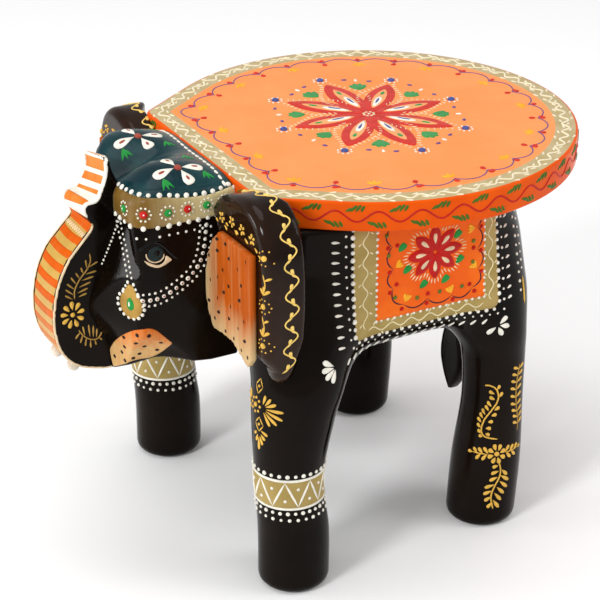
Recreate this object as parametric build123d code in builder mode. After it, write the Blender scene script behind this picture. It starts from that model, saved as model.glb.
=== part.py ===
"""Carved and painted wooden elephant stool.

Row frame: X runs from the trunk (-X) to the tail (+X), Y across (the animal's left side is -Y),
Z up from the floor.  The origin is under the middle of the overall length and width, on the floor.
All sizes are millimetres.  Everything along X is measured from the joint plane, the upright plane in
which the head block, the ears and the front edge of the seat meet the body.
"""
import os
from math import cos, radians, sin, tan

from build123d import *

os.makedirs("parts", exist_ok=True)

# ---------------------------------------------------------------- driving dimensions
# seat board: a round, squared off at the front by two straight shoulders and a short front edge
seat_height = 250.0
seat_thickness = 18.0
seat_radius = 129.0
seat_centre_setback = 115.5
seat_shoulder_angle = 55.0
seat_corner_radius = 10.0
seat_edge_round = 1.2

# body block, which starts where the legs end
body_length = 187.0
body_width = 200.0
body_front_radius = 40.0
body_rear_radius = 40.0
belly_radius = 24.0

# legs
leg_height = 138.0
foot_round = 6.0
front_leg_setback = 15.4
front_leg_spread = 182.0
front_foot_radius = 21.7
front_ankle_height = 72.0
front_ankle_radius = 20.7
front_ankle_lead = 3.0
front_knee_height = 112.0
front_knee_radius = 24.8
front_thigh_radius = 25.8
front_thigh_setback = 11.5
rear_leg_inset = 30.4
rear_leg_spread = 162.0
rear_foot_radius = 21.9
rear_ankle_height = 84.0
rear_ankle_radius = 19.3
rear_ankle_setback = 5.6
rear_knee_height = 116.0
rear_knee_radius = 20.0
rear_knee_setback = 5.0
rear_thigh_radius = 22.6
rear_thigh_setback = 1.5

# shoulder and haunch swellings on the body above the legs
shoulder_rise = 24.0
shoulder_radius = 24.0
shoulder_inset = 7.0
haunch_rise = 30.0
haunch_radius = 20.0
haunch_inset = 5.0
swelling_height = 60.0
swelling_tip_radius = 14.0
swelling_tip_inset = 20.0

# head block: flat sides, and a crown of two domes with a valley between them; the crown's heights are
# measured from the top of the seat
head_length = 62.0
head_width = 100.0
head_bottom_rise = 2.0
nape_temple_drop = 4.0
crown_setback = 32.0
crown_rise = 10.0
crown_valley_drop = 3.0
crown_temple_drop = 2.5
brow_drop = 4.0
brow_valley_drop = 12.0
brow_temple_drop = 7.0
face_edge_round = 4.0
muzzle_reach = 18.0
muzzle_rise = 35.0
muzzle_foot_reach = 6.0
muzzle_top_drop = 28.0
muzzle_top_reach = 1.0
cheek_cut_length = 20.0
cheek_cut_height = 16.0
cheek_cut_turn = 35.0
cheek_cut_tilt = 37.0

# trunk: a plank sawn to an upturned profile and glued to the face
trunk_reach = 40.5
trunk_thickness = 33.0
trunk_bottom_drop = 9.0
trunk_bulge_rise = 34.0
trunk_top_rise = 16.0
trunk_mouth_drop = 41.0
trunk_mouth_reach = 13.0
trunk_mouth_slope = 0.6
trunk_chin_share = 0.74
trunk_chin_lift_share = 0.26
trunk_throat_share = 0.84
trunk_lip_reach = 17.5
trunk_lip_height = 16.0
trunk_neck_reach = 5.0
trunk_tip_reach = 9.0

# ears: thick carved blocks, each with a thin sawn board on its front
ear_thickness = 17.0
ear_span = 244.0
ear_top_rise = 8.0
ear_bottom_rise = 2.0
ear_root_top_drop = 12.0
ear_root_bottom_rise = 28.0
ear_crest_inset = 30.0
ear_crest_slope = 0.6
ear_tip_inset = 15.0
ear_tip_radius = 9.0
ear_fork_rise = 24.0
ear_edge_round = 5.0
ear_rim_swell_depth = 6.0
ear_rim_width = 34.0
ear_rim_foot_height = 34.0
lining_thickness = 4.0
lining_gap = 0.5
lining_margin = 12.0
lining_top_drop = 7.0
lining_bottom_rise = 17.0
lining_shoulder_width = 17.0
lining_point_height = 7.0

# tusks: two short rounded pegs on the lower front of the trunk
tusk_diameter = 8.0
tusk_length = 7.0
tusk_tenon = 8.0
tusk_spacing = 16.0
left_tusk_place = 0.20
right_tusk_place = 0.235
tusk_round = 3.0

# tail: a flat leaf that hangs from the rump
tail_top_drop = 28.0
tail_tip_height = 44.0
tail_thickness = 9.0
tail_tuck_depth = 6.0
tail_stem_width = 13.0
tail_stem_height = 104.0
tail_leaf_width = 25.0
tail_leaf_height = 70.0
tail_point_slope = 0.6

# joinery and fixings
fit_clearance = 0.1
glue_space = 1.0
leg_dowel_diameter = 12.0
leg_dowel_length = 56.0
head_dowel_diameter = 12.0
head_dowel_length = 50.0
head_dowel_spacing = 50.0
head_dowel_rise = 52.0
trunk_dowel_diameter = 8.0
trunk_dowel_length = 28.0
trunk_dowel_rise = 34.0
trunk_dowel_drop = 22.0
tail_dowel_diameter = 6.0
tail_dowel_length = 20.0
tail_dowel_seat = 5.0
tail_dowel_drop = 16.0
nail_diameter = 3.0
nail_head_diameter = 6.0
nail_head_thickness = 1.2
seat_nail_length = 45.0
seat_nail_depth = 3.0
seat_nail_front_setback = 36.0
seat_nail_rear_inset = 37.0
seat_nail_spacing = 110.0
ear_nail_length = 36.0
ear_nail_inset = 7.5
ear_nail_rise = 40.0
ear_nail_drop = 17.0

# ---------------------------------------------------------------- places worked out from the sizes
overall_length = trunk_reach + head_length + seat_centre_setback + seat_radius
joint_x = trunk_reach + head_length - overall_length / 2
seat_underside = seat_height - seat_thickness
seat_centre_x = joint_x + seat_centre_setback
face_x = joint_x - head_length
rump_x = joint_x + body_length
cheek_y = head_width / 2
ear_front_x = joint_x - ear_thickness
ear_outer_y = ear_span / 2
ear_nail_y = cheek_y + ear_nail_inset
left, right = -1, 1

# heights from the floor: the low ones follow the legs, the high ones follow the seat
head_bottom = leg_height + head_bottom_rise
trunk_bottom = head_bottom - trunk_bottom_drop
trunk_bulge = trunk_bottom + trunk_bulge_rise
trunk_top = seat_height + trunk_top_rise
trunk_mouth = trunk_top - trunk_mouth_drop
ear_top = seat_height + ear_top_rise
ear_root_top = seat_height - ear_root_top_drop
ear_bottom = head_bottom + ear_bottom_rise
ear_root_bottom = head_bottom + ear_root_bottom_rise
ear_fork = head_bottom + ear_fork_rise
lining_top = ear_root_top - lining_top_drop
lining_bottom = ear_bottom + lining_bottom_rise
tail_top = seat_underside - tail_top_drop
tail_bend = leg_height + belly_radius

front_leg_x = joint_x + front_leg_setback
rear_leg_x = rump_x - rear_leg_inset
front_thigh_x = front_leg_x + front_thigh_setback
rear_thigh_x = rear_leg_x + rear_thigh_setback

# leg sections from the floor up: height, radius and place of the centre along X
front_leg_sections = [
    (0, front_foot_radius, front_leg_x),
    (front_ankle_height / 2, front_foot_radius, front_leg_x),
    (front_ankle_height, front_ankle_radius, front_leg_x - front_ankle_lead),
    (front_knee_height, front_knee_radius, front_leg_x),
    (leg_height, front_thigh_radius, front_thigh_x),
]
rear_leg_sections = [
    (0, rear_foot_radius, rear_leg_x),
    (rear_ankle_height / 2, rear_foot_radius, rear_leg_x + rear_ankle_setback / 2),
    (rear_ankle_height, rear_ankle_radius, rear_leg_x + rear_ankle_setback),
    (rear_knee_height, rear_knee_radius, rear_leg_x + rear_knee_setback),
    (leg_height, rear_thigh_radius, rear_thigh_x),
]
thigh_places = [
    (x, side * spread / 2)
    for x, spread in ((front_thigh_x, front_leg_spread), (rear_thigh_x, rear_leg_spread))
    for side in (left, right)
]
head_dowel_height = head_bottom + head_dowel_rise
head_dowel_places = [(joint_x, side * head_dowel_spacing / 2, head_dowel_height) for side in (left, right)]
trunk_dowel_heights = (trunk_bottom + trunk_dowel_rise, trunk_mouth - trunk_dowel_drop)
trunk_dowel_places = [(face_x, 0, height) for height in trunk_dowel_heights]
tail_dowel_place = (rump_x, 0, tail_top - tail_dowel_drop)
seat_nail_places = [
    (x, side * seat_nail_spacing / 2)
    for x in (joint_x + seat_nail_front_setback, rump_x - seat_nail_rear_inset)
    for side in (left, right)
]
ear_nail_heights = (head_bottom + ear_nail_rise, seat_underside - ear_nail_drop)

INTO = (Align.CENTER, Align.CENTER, Align.MIN)
FORWARD, BACKWARD = (-1, 0, 0), (1, 0, 0)
UP, DOWN = (0, 0, 1), (0, 0, -1)


def planes(places, direction):
    """Working planes at the given points, all facing one way."""
    return [Plane(origin=place, z_dir=direction) for place in places]


def drill_dowel_holes(places, outward, diameter, depth):
    """Blind holes for dowels, with room round each dowel and glue space at its end."""
    with Locations(*planes(places, outward)):
        Hole(diameter / 2 + fit_clearance, depth + glue_space)


def drill_nail_holes(places, outward, depth):
    """Holes for the shanks of nails."""
    with Locations(*planes(places, outward)):
        Hole(nail_diameter / 2 + fit_clearance, depth)


def drive_nails(places, inward, length):
    """Wire nails with flat heads, the top of each head at its place."""
    with Locations(*planes(places, inward)):
        Cylinder(nail_head_diameter / 2, nail_head_thickness, align=INTO)
        Cylinder(nail_diameter / 2, length, align=INTO)


def finish(part, name):
    """Name a finished piece and write its file."""
    part.label = name
    export_step(part, f"parts/{name}.step")


# ---------------------------------------------------------------- seat board
# the round runs into a straight shoulder on each side, and the front edge cuts both off
shoulder_x = seat_centre_x - seat_radius * cos(radians(seat_shoulder_angle))
shoulder_y = seat_radius * sin(radians(seat_shoulder_angle))
front_edge_y = shoulder_y - (shoulder_x - joint_x) / tan(radians(seat_shoulder_angle))

with BuildPart() as seat_board:
    with BuildSketch(Plane.XY.offset(seat_underside)) as seat_outline:
        with BuildLine():
            rim = ThreePointArc(
                (shoulder_x, -shoulder_y), (seat_centre_x + seat_radius, 0), (shoulder_x, shoulder_y)
            )
            Polyline(rim @ 1, (joint_x, front_edge_y), (joint_x, -front_edge_y), rim @ 0)
        make_face()
        fillet(seat_outline.vertices().group_by(Axis.X)[0], seat_corner_radius)
    extrude(amount=seat_thickness)
    fillet(seat_board.faces().sort_by(Axis.Z)[-1].edges(), seat_edge_round)
    with Locations(*[(x, y, seat_height) for x, y in seat_nail_places]):
        CounterBoreHole(
            nail_diameter / 2 + fit_clearance,
            nail_head_diameter / 2 + fit_clearance,
            seat_nail_depth + nail_head_thickness + fit_clearance,
            seat_thickness,
        )
finish(seat_board.part, "seat_board")

# ---------------------------------------------------------------- body block
swellings = [
    (front_thigh_x, front_leg_spread / 2, front_thigh_radius, shoulder_rise, shoulder_radius, shoulder_inset),
    (rear_thigh_x, rear_leg_spread / 2, rear_thigh_radius, haunch_rise, haunch_radius, haunch_inset),
]

with BuildPart() as body_block:
    with BuildSketch(Plane.XY.offset(leg_height)) as body_plan:
        with Locations(((joint_x + rump_x) / 2, 0)):
            Rectangle(body_length, body_width)
        fillet(body_plan.vertices().group_by(Axis.X)[0], body_front_radius)
        fillet(body_plan.vertices().group_by(Axis.X)[-1], body_rear_radius)
    extrude(amount=seat_underside - leg_height)
    fillet(body_block.faces().sort_by(Axis.Z)[0].edges(), belly_radius)
    for x, y, thigh_radius, rise, radius, inset in swellings:
        for side in (left, right):
            with BuildSketch(Plane.XY.offset(leg_height)):
                with Locations((x, side * y)):
                    Circle(thigh_radius)
            with BuildSketch(Plane.XY.offset(leg_height + rise)):
                with Locations((x, side * (y - inset))):
                    Circle(radius)
            with BuildSketch(Plane.XY.offset(leg_height + swelling_height)):
                with Locations((x, side * (y - swelling_tip_inset))):
                    Circle(swelling_tip_radius)
            loft()
    drill_dowel_holes(
        [(x, y, leg_height) for x, y in thigh_places], DOWN, leg_dowel_diameter, leg_dowel_length / 2
    )
    drill_dowel_holes(head_dowel_places, FORWARD, head_dowel_diameter, head_dowel_length / 2)
    drill_dowel_holes(
        [tail_dowel_place], BACKWARD, tail_dowel_diameter, tail_dowel_length - tail_dowel_seat
    )
    drill_nail_holes(
        [(x, y, seat_underside) for x, y in seat_nail_places],
        UP,
        seat_nail_length - (seat_thickness - seat_nail_depth) + glue_space,
    )
    drill_nail_holes(
        [(joint_x, side * ear_nail_y, z) for side in (left, right) for z in ear_nail_heights],
        FORWARD,
        ear_nail_length - ear_thickness + glue_space,
    )
finish(body_block.part, "body_block")


# ---------------------------------------------------------------- legs
def carve_leg(name, sections, y):
    """One leg: round sections joined into a smooth post, with a soft foot edge and a dowel hole."""
    with BuildPart() as leg:
        for height, radius, x in sections:
            with BuildSketch(Plane.XY.offset(height)):
                with Locations((x, y)):
                    Circle(radius)
        loft()
        fillet(leg.edges().group_by(Axis.Z)[0], foot_round)
        drill_dowel_holes([(sections[-1][2], y, leg_height)], UP, leg_dowel_diameter, leg_dowel_length / 2)
    finish(leg.part, name)


carve_leg("front_left_leg", front_leg_sections, left * front_leg_spread / 2)
carve_leg("front_right_leg", front_leg_sections, right * front_leg_spread / 2)
carve_leg("rear_left_leg", rear_leg_sections, left * rear_leg_spread / 2)
carve_leg("rear_right_leg", rear_leg_sections, right * rear_leg_spread / 2)

# ---------------------------------------------------------------- head block
# the crown's sections from the joint forward: place, and heights of the temples, domes and valley
head_sections = [
    (joint_x, seat_height - nape_temple_drop, seat_height, seat_height),
    (
        face_x + crown_setback,
        seat_height - crown_temple_drop,
        seat_height + crown_rise,
        seat_height - crown_valley_drop,
    ),
    (face_x, seat_height - brow_temple_drop, seat_height - brow_drop, seat_height - brow_valley_drop),
]
# the muzzle's sections from the bottom up: height, and reach beyond the face beside the trunk
muzzle_sections = [
    (head_bottom, muzzle_foot_reach),
    (head_bottom + muzzle_rise, muzzle_reach),
    (seat_height - muzzle_top_drop, muzzle_top_reach),
]
muzzle_inner_y = trunk_thickness / 2 + fit_clearance

with BuildPart() as head_block:
    for x, temple_height, dome_height, valley_height in head_sections:
        with BuildSketch(Plane.YZ.offset(x)):
            with BuildLine():
                sides = Polyline(
                    (-cheek_y, temple_height),
                    (-cheek_y, head_bottom),
                    (cheek_y, head_bottom),
                    (cheek_y, temple_height),
                )
                dome = ThreePointArc(sides @ 1, (cheek_y / 2, dome_height), (0, valley_height))
                ThreePointArc(dome @ 1, (-cheek_y / 2, dome_height), sides @ 0)
            make_face()
    loft()
    face_edges = head_block.faces().sort_by(Axis.X)[0].edges().sort_by(Axis.Y)
    fillet([face_edges[0], face_edges[-1]], face_edge_round)
    # the muzzle slopes from each cheek to the trunk, which is let in between its two sides
    for side in (left, right):
        for height, reach in muzzle_sections:
            with BuildSketch(Plane.XY.offset(height)):
                with BuildLine():
                    Polyline(
                        (face_x, side * (cheek_y - face_edge_round)),
                        (face_x, side * muzzle_inner_y),
                        (face_x - reach, side * muzzle_inner_y),
                        close=True,
                    )
                make_face()
        loft(ruled=True)
    # the flat cut under each cheek, which falls forward and inward
    for side in (left, right):
        cut_normal = (
            -cos(radians(cheek_cut_tilt)) * sin(radians(cheek_cut_turn)),
            side * cos(radians(cheek_cut_tilt)) * cos(radians(cheek_cut_turn)),
            -sin(radians(cheek_cut_tilt)),
        )
        cut_origin = (face_x + cheek_cut_length, side * cheek_y, head_bottom + cheek_cut_height)
        with BuildSketch(Plane(origin=cut_origin, z_dir=cut_normal)):
            Rectangle(3 * head_length, 3 * head_length)
        extrude(amount=head_length, mode=Mode.SUBTRACT)
    drill_dowel_holes(head_dowel_places, BACKWARD, head_dowel_diameter, head_dowel_length / 2)
    drill_dowel_holes(trunk_dowel_places, FORWARD, trunk_dowel_diameter, trunk_dowel_length / 2)
finish(head_block.part, "head_block")

# ---------------------------------------------------------------- trunk and tusks
with BuildPart() as trunk:
    with BuildSketch(Plane.XZ):
        with BuildLine():
            chin_lift = trunk_chin_lift_share * trunk_bulge_rise
            lower_front = Spline(
                (face_x, trunk_bottom),
                (face_x - trunk_chin_share * trunk_reach, trunk_bottom + chin_lift),
                (face_x - trunk_reach, trunk_bulge),
                (face_x - trunk_throat_share * trunk_reach, (trunk_bulge + trunk_mouth) / 2),
                (face_x - trunk_mouth_reach, trunk_mouth),
                tangents=[(-1, 0), (trunk_mouth_slope, 1)],
            )
            lip = ThreePointArc(
                lower_front @ 1,
                (face_x - trunk_lip_reach, trunk_mouth + trunk_lip_height / 2),
                (face_x - trunk_tip_reach, trunk_mouth + trunk_lip_height),
            )
            tip = ThreePointArc(
                lip @ 1,
                (face_x - trunk_neck_reach, (trunk_mouth + trunk_lip_height + trunk_top) / 2),
                (face_x - trunk_tip_reach, trunk_top),
            )
            Polyline(tip @ 1, (face_x, trunk_top), (face_x, trunk_bottom))
        make_face()
    extrude(amount=trunk_thickness / 2, both=True)
    # each tusk stands square to the curved front, its place a share of the way up that curve
    tusk_seats = []
    for side, share in ((left, left_tusk_place), (right, right_tusk_place)):
        root = lower_front @ share
        run = lower_front % share
        tusk_seats.append(Plane(origin=(root.X, side * tusk_spacing / 2, root.Y), z_dir=(-run.Y, 0, run.X)))
    with Locations(*tusk_seats):
        Cylinder(tusk_diameter / 2 + fit_clearance, 2 * (tusk_tenon + glue_space), mode=Mode.SUBTRACT)
    drill_dowel_holes(trunk_dowel_places, BACKWARD, trunk_dowel_diameter, trunk_dowel_length / 2)
finish(trunk.part, "trunk")

for name, seat in zip(("left_tusk", "right_tusk"), tusk_seats):
    with BuildPart(seat) as tusk:
        with Locations((0, 0, -tusk_tenon)):
            Cylinder(tusk_diameter / 2, tusk_tenon + tusk_length, align=INTO)
        fillet(tusk.faces().sort_by(Axis(seat.origin, seat.z_dir))[-1].edges(), tusk_round)
    finish(tusk.part, name)


# ---------------------------------------------------------------- ears and their linings
ear_tip_y = ear_outer_y - ear_tip_inset
lining_inner_y = cheek_y + lining_gap
lining_outer_y = ear_outer_y - lining_margin


def ear_outline(side):
    """The ear's outline: straight along the cheek, round over the top, hanging down to a tip."""
    with BuildSketch() as outline:
        with BuildLine():
            root = Line((side * cheek_y, ear_root_bottom), (side * cheek_y, ear_root_top))
            crest = Spline(
                root @ 1,
                (side * (ear_outer_y - ear_crest_inset), ear_top),
                (side * ear_outer_y, (ear_top + ear_root_bottom) / 2),
                tangents=[(side, ear_crest_slope), (0, -1)],
            )
            hem = Spline(
                crest @ 1,
                (side * (ear_tip_y + ear_tip_radius), ear_bottom + ear_tip_radius),
                tangents=[(0, -1), (0, -1)],
            )
            tip = ThreePointArc(
                hem @ 1,
                (side * ear_tip_y, ear_bottom),
                (side * (ear_tip_y - ear_tip_radius), ear_bottom + ear_tip_radius),
            )
            Polyline(tip @ 1, (side * (ear_tip_y - ear_tip_radius), ear_fork), root @ 0)
        make_face()
    return outline.sketch


def carve_ear(name, side):
    """One ear: a sawn slab whose outer rim is thicker behind, with holes for its two nails."""
    with BuildPart() as ear:
        with BuildSketch(Plane.YZ.offset(ear_front_x)):
            add(ear_outline(side))
        extrude(amount=ear_thickness)
        fillet(ear.faces().sort_by(Axis.X)[0].edges(), ear_edge_round)
        with BuildSketch(Plane.YZ.offset(joint_x)):
            add(ear_outline(side))
            with Locations((side * ear_outer_y, ear_top)):
                Rectangle(
                    2 * ear_rim_width, 2 * (ear_top - ear_bottom - ear_rim_foot_height), mode=Mode.INTERSECT
                )
        extrude(amount=ear_rim_swell_depth)
        with Locations(*planes([(ear_front_x, side * ear_nail_y, z) for z in ear_nail_heights], FORWARD)):
            CounterBoreHole(
                nail_diameter / 2 + fit_clearance,
                nail_head_diameter / 2 + fit_clearance,
                nail_head_thickness + fit_clearance,
                ear_thickness,
            )
    finish(ear.part, name)


def saw_lining(name, side):
    """The thin board on the front of an ear: straight at the top and outside, bulged towards the cheek."""
    with BuildPart() as lining:
        with BuildSketch(Plane.YZ.offset(ear_front_x - lining_thickness)):
            with BuildLine():
                bulge = Spline(
                    (side * (lining_inner_y + lining_shoulder_width), lining_top),
                    (side * lining_inner_y, (lining_top + lining_bottom) / 2),
                    (side * (lining_inner_y + lining_shoulder_width / 2), lining_bottom + lining_point_height),
                )
                Polyline(
                    bulge @ 1,
                    (side * (lining_outer_y - 3 * lining_point_height), lining_bottom + lining_point_height),
                    (side * (lining_outer_y - lining_point_height), lining_bottom),
                    (side * lining_outer_y, lining_bottom + lining_point_height),
                    (side * lining_outer_y, lining_top),
                    bulge @ 0,
                )
            make_face()
        extrude(amount=lining_thickness)
    finish(lining.part, name)


carve_ear("left_ear", left)
carve_ear("right_ear", right)
saw_lining("left_ear_lining", left)
saw_lining("right_ear_lining", right)

# ---------------------------------------------------------------- tail
with BuildPart() as tail:
    with BuildSketch(Plane.XZ):
        with BuildLine():
            seat_line = Line((rump_x, tail_top), (rump_x, tail_bend))
            inner = Spline(
                seat_line @ 1, (rump_x - tail_tuck_depth, tail_tip_height), tangents=[(0, -1), (0, -1)]
            )
            outer = Spline(
                inner @ 1 + (tail_thickness, 0), seat_line @ 1 + (tail_thickness, 0), tangents=[(0, 1), (0, 1)]
            )
            Polyline(outer @ 1, (rump_x + tail_thickness, tail_top), seat_line @ 0)
            Line(inner @ 1, outer @ 0)
        make_face()
    extrude(amount=tail_leaf_width, both=True)
    with BuildSketch(Plane.YZ.offset(rump_x)):
        with BuildLine():
            stem = Line((0, tail_top), (tail_stem_width / 2, tail_top))
            edge = Line(stem @ 1, (tail_stem_width / 2, tail_stem_height))
            Spline(
                edge @ 1,
                (tail_leaf_width / 2, tail_leaf_height),
                (0, tail_tip_height),
                tangents=[(0, -1), (-1, -tail_point_slope)],
            )
            mirror(about=Plane.YZ)
        make_face()
    extrude(amount=2 * tail_thickness, both=True, mode=Mode.INTERSECT)
    drill_dowel_holes([tail_dowel_place], FORWARD, tail_dowel_diameter, tail_dowel_seat - glue_space)
finish(tail.part, "tail")

# ---------------------------------------------------------------- dowels, nails and fillers
dowel_sets = [
    ("leg_dowels", [(x, y, leg_height) for x, y in thigh_places], UP, leg_dowel_diameter, leg_dowel_length),
    ("head_dowels", head_dowel_places, FORWARD, head_dowel_diameter, head_dowel_length),
    ("trunk_dowels", trunk_dowel_places, FORWARD, trunk_dowel_diameter, trunk_dowel_length),
]
for name, places, direction, diameter, length in dowel_sets:
    with BuildPart() as dowels:
        with Locations(*planes(places, direction)):
            Cylinder(diameter / 2, length)
    finish(dowels.part, name)

with BuildPart() as tail_dowel:
    with Locations(*planes([tail_dowel_place], BACKWARD)):
        with Locations((0, 0, tail_dowel_seat - glue_space)):
            Cylinder(tail_dowel_diameter / 2, tail_dowel_length, align=(Align.CENTER, Align.CENTER, Align.MAX))
finish(tail_dowel.part, "tail_dowel")

with BuildPart() as seat_nails:
    drive_nails([(x, y, seat_height - seat_nail_depth) for x, y in seat_nail_places], DOWN, seat_nail_length)
finish(seat_nails.part, "seat_nails")

with BuildPart() as seat_nail_fillers:
    with Locations(*[(x, y, seat_height - seat_nail_depth) for x, y in seat_nail_places]):
        Cylinder(nail_head_diameter / 2, seat_nail_depth, align=INTO)
finish(seat_nail_fillers.part, "seat_nail_fillers")

with BuildPart() as ear_nails:
    drive_nails(
        [(ear_front_x, side * ear_nail_y, z) for side in (left, right) for z in ear_nail_heights],
        BACKWARD,
        ear_nail_length,
    )
finish(ear_nails.part, "ear_nails")
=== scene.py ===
from itertools import cycle
from math import cos, pi, radians, sin

import bmesh
import bpy
import numpy as np
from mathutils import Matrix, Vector
from mathutils.bvhtree import BVHTree


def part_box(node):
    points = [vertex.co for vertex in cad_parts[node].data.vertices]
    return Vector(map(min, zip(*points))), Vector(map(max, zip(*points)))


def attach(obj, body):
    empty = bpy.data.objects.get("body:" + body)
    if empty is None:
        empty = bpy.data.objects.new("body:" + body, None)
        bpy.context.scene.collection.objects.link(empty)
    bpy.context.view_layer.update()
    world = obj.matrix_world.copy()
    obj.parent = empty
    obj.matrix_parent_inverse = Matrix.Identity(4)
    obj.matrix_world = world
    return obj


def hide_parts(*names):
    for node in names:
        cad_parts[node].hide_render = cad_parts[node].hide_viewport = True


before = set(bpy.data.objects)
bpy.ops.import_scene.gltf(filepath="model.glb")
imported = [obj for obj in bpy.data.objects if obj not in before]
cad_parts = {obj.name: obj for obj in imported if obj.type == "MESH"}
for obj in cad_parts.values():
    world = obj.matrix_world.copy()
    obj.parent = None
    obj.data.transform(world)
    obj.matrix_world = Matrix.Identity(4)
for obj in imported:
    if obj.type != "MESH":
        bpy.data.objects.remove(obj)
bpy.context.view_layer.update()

# ---------------------------------------------------------------- body and legs
# The body is one block of mango wood, and the legs are round posts dowelled under it. The joints are
# filled and carved over, so body and legs read as one smooth form, and the whole is lacquered
# black-brown with a brush.
MM = 0.001
JOINT_X, RUMP_X = -71.0, 116.0
BODY_HALF_WIDTH, BODY_CORNER, BELLY_ROUND = 100.0, 40.0, 24.0
BELLY_HEIGHT, BELLY_ARCH, BELLY_MIDDLE_X, BELLY_SPAN = 138.0, 4.0, 30.0, 70.0
SEAT_UNDERSIDE, SEAT_TOP, SEAT_GAP = 232.0, 250.0, 0.2
LEG_BLEND, LEG_TOP_ROUND, FOOT_ROUND = 22.0, 12.0, 6.0
# height, and how much rounder the haunch corners are there than the shoulder corners
HAUNCH_ROUND = [(145, 7), (190, 15), (215, 22), (232, 29)]
# height, radius, place along the body and place across it, from the floor up into the body
FRONT_LEG = [
    (0, 21.7, -55.6, 91), (36, 21.7, -55.6, 91), (72, 20.7, -58.6, 91), (112, 24.8, -55.6, 91),
    (138, 28.0, -50.0, 88), (165, 25.0, -46.0, 82), (205, 16.0, -41.0, 70),
]
REAR_LEG = [
    (0, 21.9, 85.6, 81), (42, 21.9, 88.4, 81), (84, 19.3, 91.2, 81), (116, 20.0, 90.6, 81),
    (138, 22.6, 87.5, 80), (165, 21.0, 86.0, 74), (205, 16.0, 84.0, 64),
]


def flow(points, steps=8):
    """Points on a smooth curve through the given ones."""
    p = np.array(points, float)
    p = np.vstack([2 * p[0] - p[1], p, 2 * p[-1] - p[-2]])
    t = np.arange(steps)[:, None] / steps
    runs = [
        0.5 * (2 * b + (c - a) * t + (2 * a - 5 * b + 4 * c - d) * t**2 + (3 * b - a - 3 * c + d) * t**3)
        for a, b, c, d in zip(p, p[1:], p[2:], p[3:])
    ]
    return np.vstack(runs + [p[-2]])


def melt(a, b, radius):
    """Joins two carved forms with a soft hollow between them."""
    share = np.clip(0.5 + 0.5 * (b - a) / radius, 0, 1)
    return b * (1 - share) + a * share - radius * share * (1 - share)


def sanded(a, b, radius):
    """Keeps what is inside both forms, with the edge between them sanded round."""
    a, b = a + radius, b + radius
    return np.hypot(np.maximum(a, 0), np.maximum(b, 0)) + np.minimum(np.maximum(a, b), 0) - radius


def leg_post(stations, x, y, z):
    """A round post through its stations, eased at the foot and at its end inside the body."""
    height, radius, along, across = flow(stations).T
    place = [np.interp(z, height, values) for values in (along, across, radius)]
    post = np.hypot(x - place[0], y - place[1]) - place[2]
    return sanded(sanded(post, -z, FOOT_ROUND), z - height[-1], LEG_TOP_ROUND)


def body_and_legs(x, y, z):
    y = abs(y)
    middle, half = (JOINT_X + RUMP_X) / 2, (RUMP_X - JOINT_X) / 2
    corner = BODY_CORNER + np.where(x > middle, np.interp(z, *np.array(HAUNCH_ROUND, float).T), 0)
    block = sanded(abs(x - middle) - half, y - BODY_HALF_WIDTH, corner)
    arch = BELLY_ARCH * np.exp(-((x - BELLY_MIDDLE_X) / BELLY_SPAN) ** 2)
    block = sanded(block, BELLY_HEIGHT + arch - z, BELLY_ROUND)
    form = melt(block, leg_post(FRONT_LEG, x, y, z), LEG_BLEND)
    form = melt(form, leg_post(REAR_LEG, x, y, z), LEG_BLEND)
    return np.maximum(form, z - SEAT_UNDERSIDE + SEAT_GAP)


def shaped(name, corners, faces, *paints):
    """A new piece from its corners, in millimetres, its faces and its paints."""
    mesh = bpy.data.meshes.new(name)
    mesh.from_pydata((np.asarray(corners) * MM).tolist(), [], faces)
    mesh.update()
    mesh.shade_smooth()
    for paint in paints:
        mesh.materials.append(paint)
    piece = bpy.data.objects.new(name, mesh)
    bpy.context.scene.collection.objects.link(piece)
    return piece


CORNERS = np.array([(i, j, k) for i in (0, 1) for j in (0, 1) for k in (0, 1)])
EDGES = [(a, b) for a in range(8) for b in range(a + 1, 8) if abs(CORNERS[a] - CORNERS[b]).sum() == 1]


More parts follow.
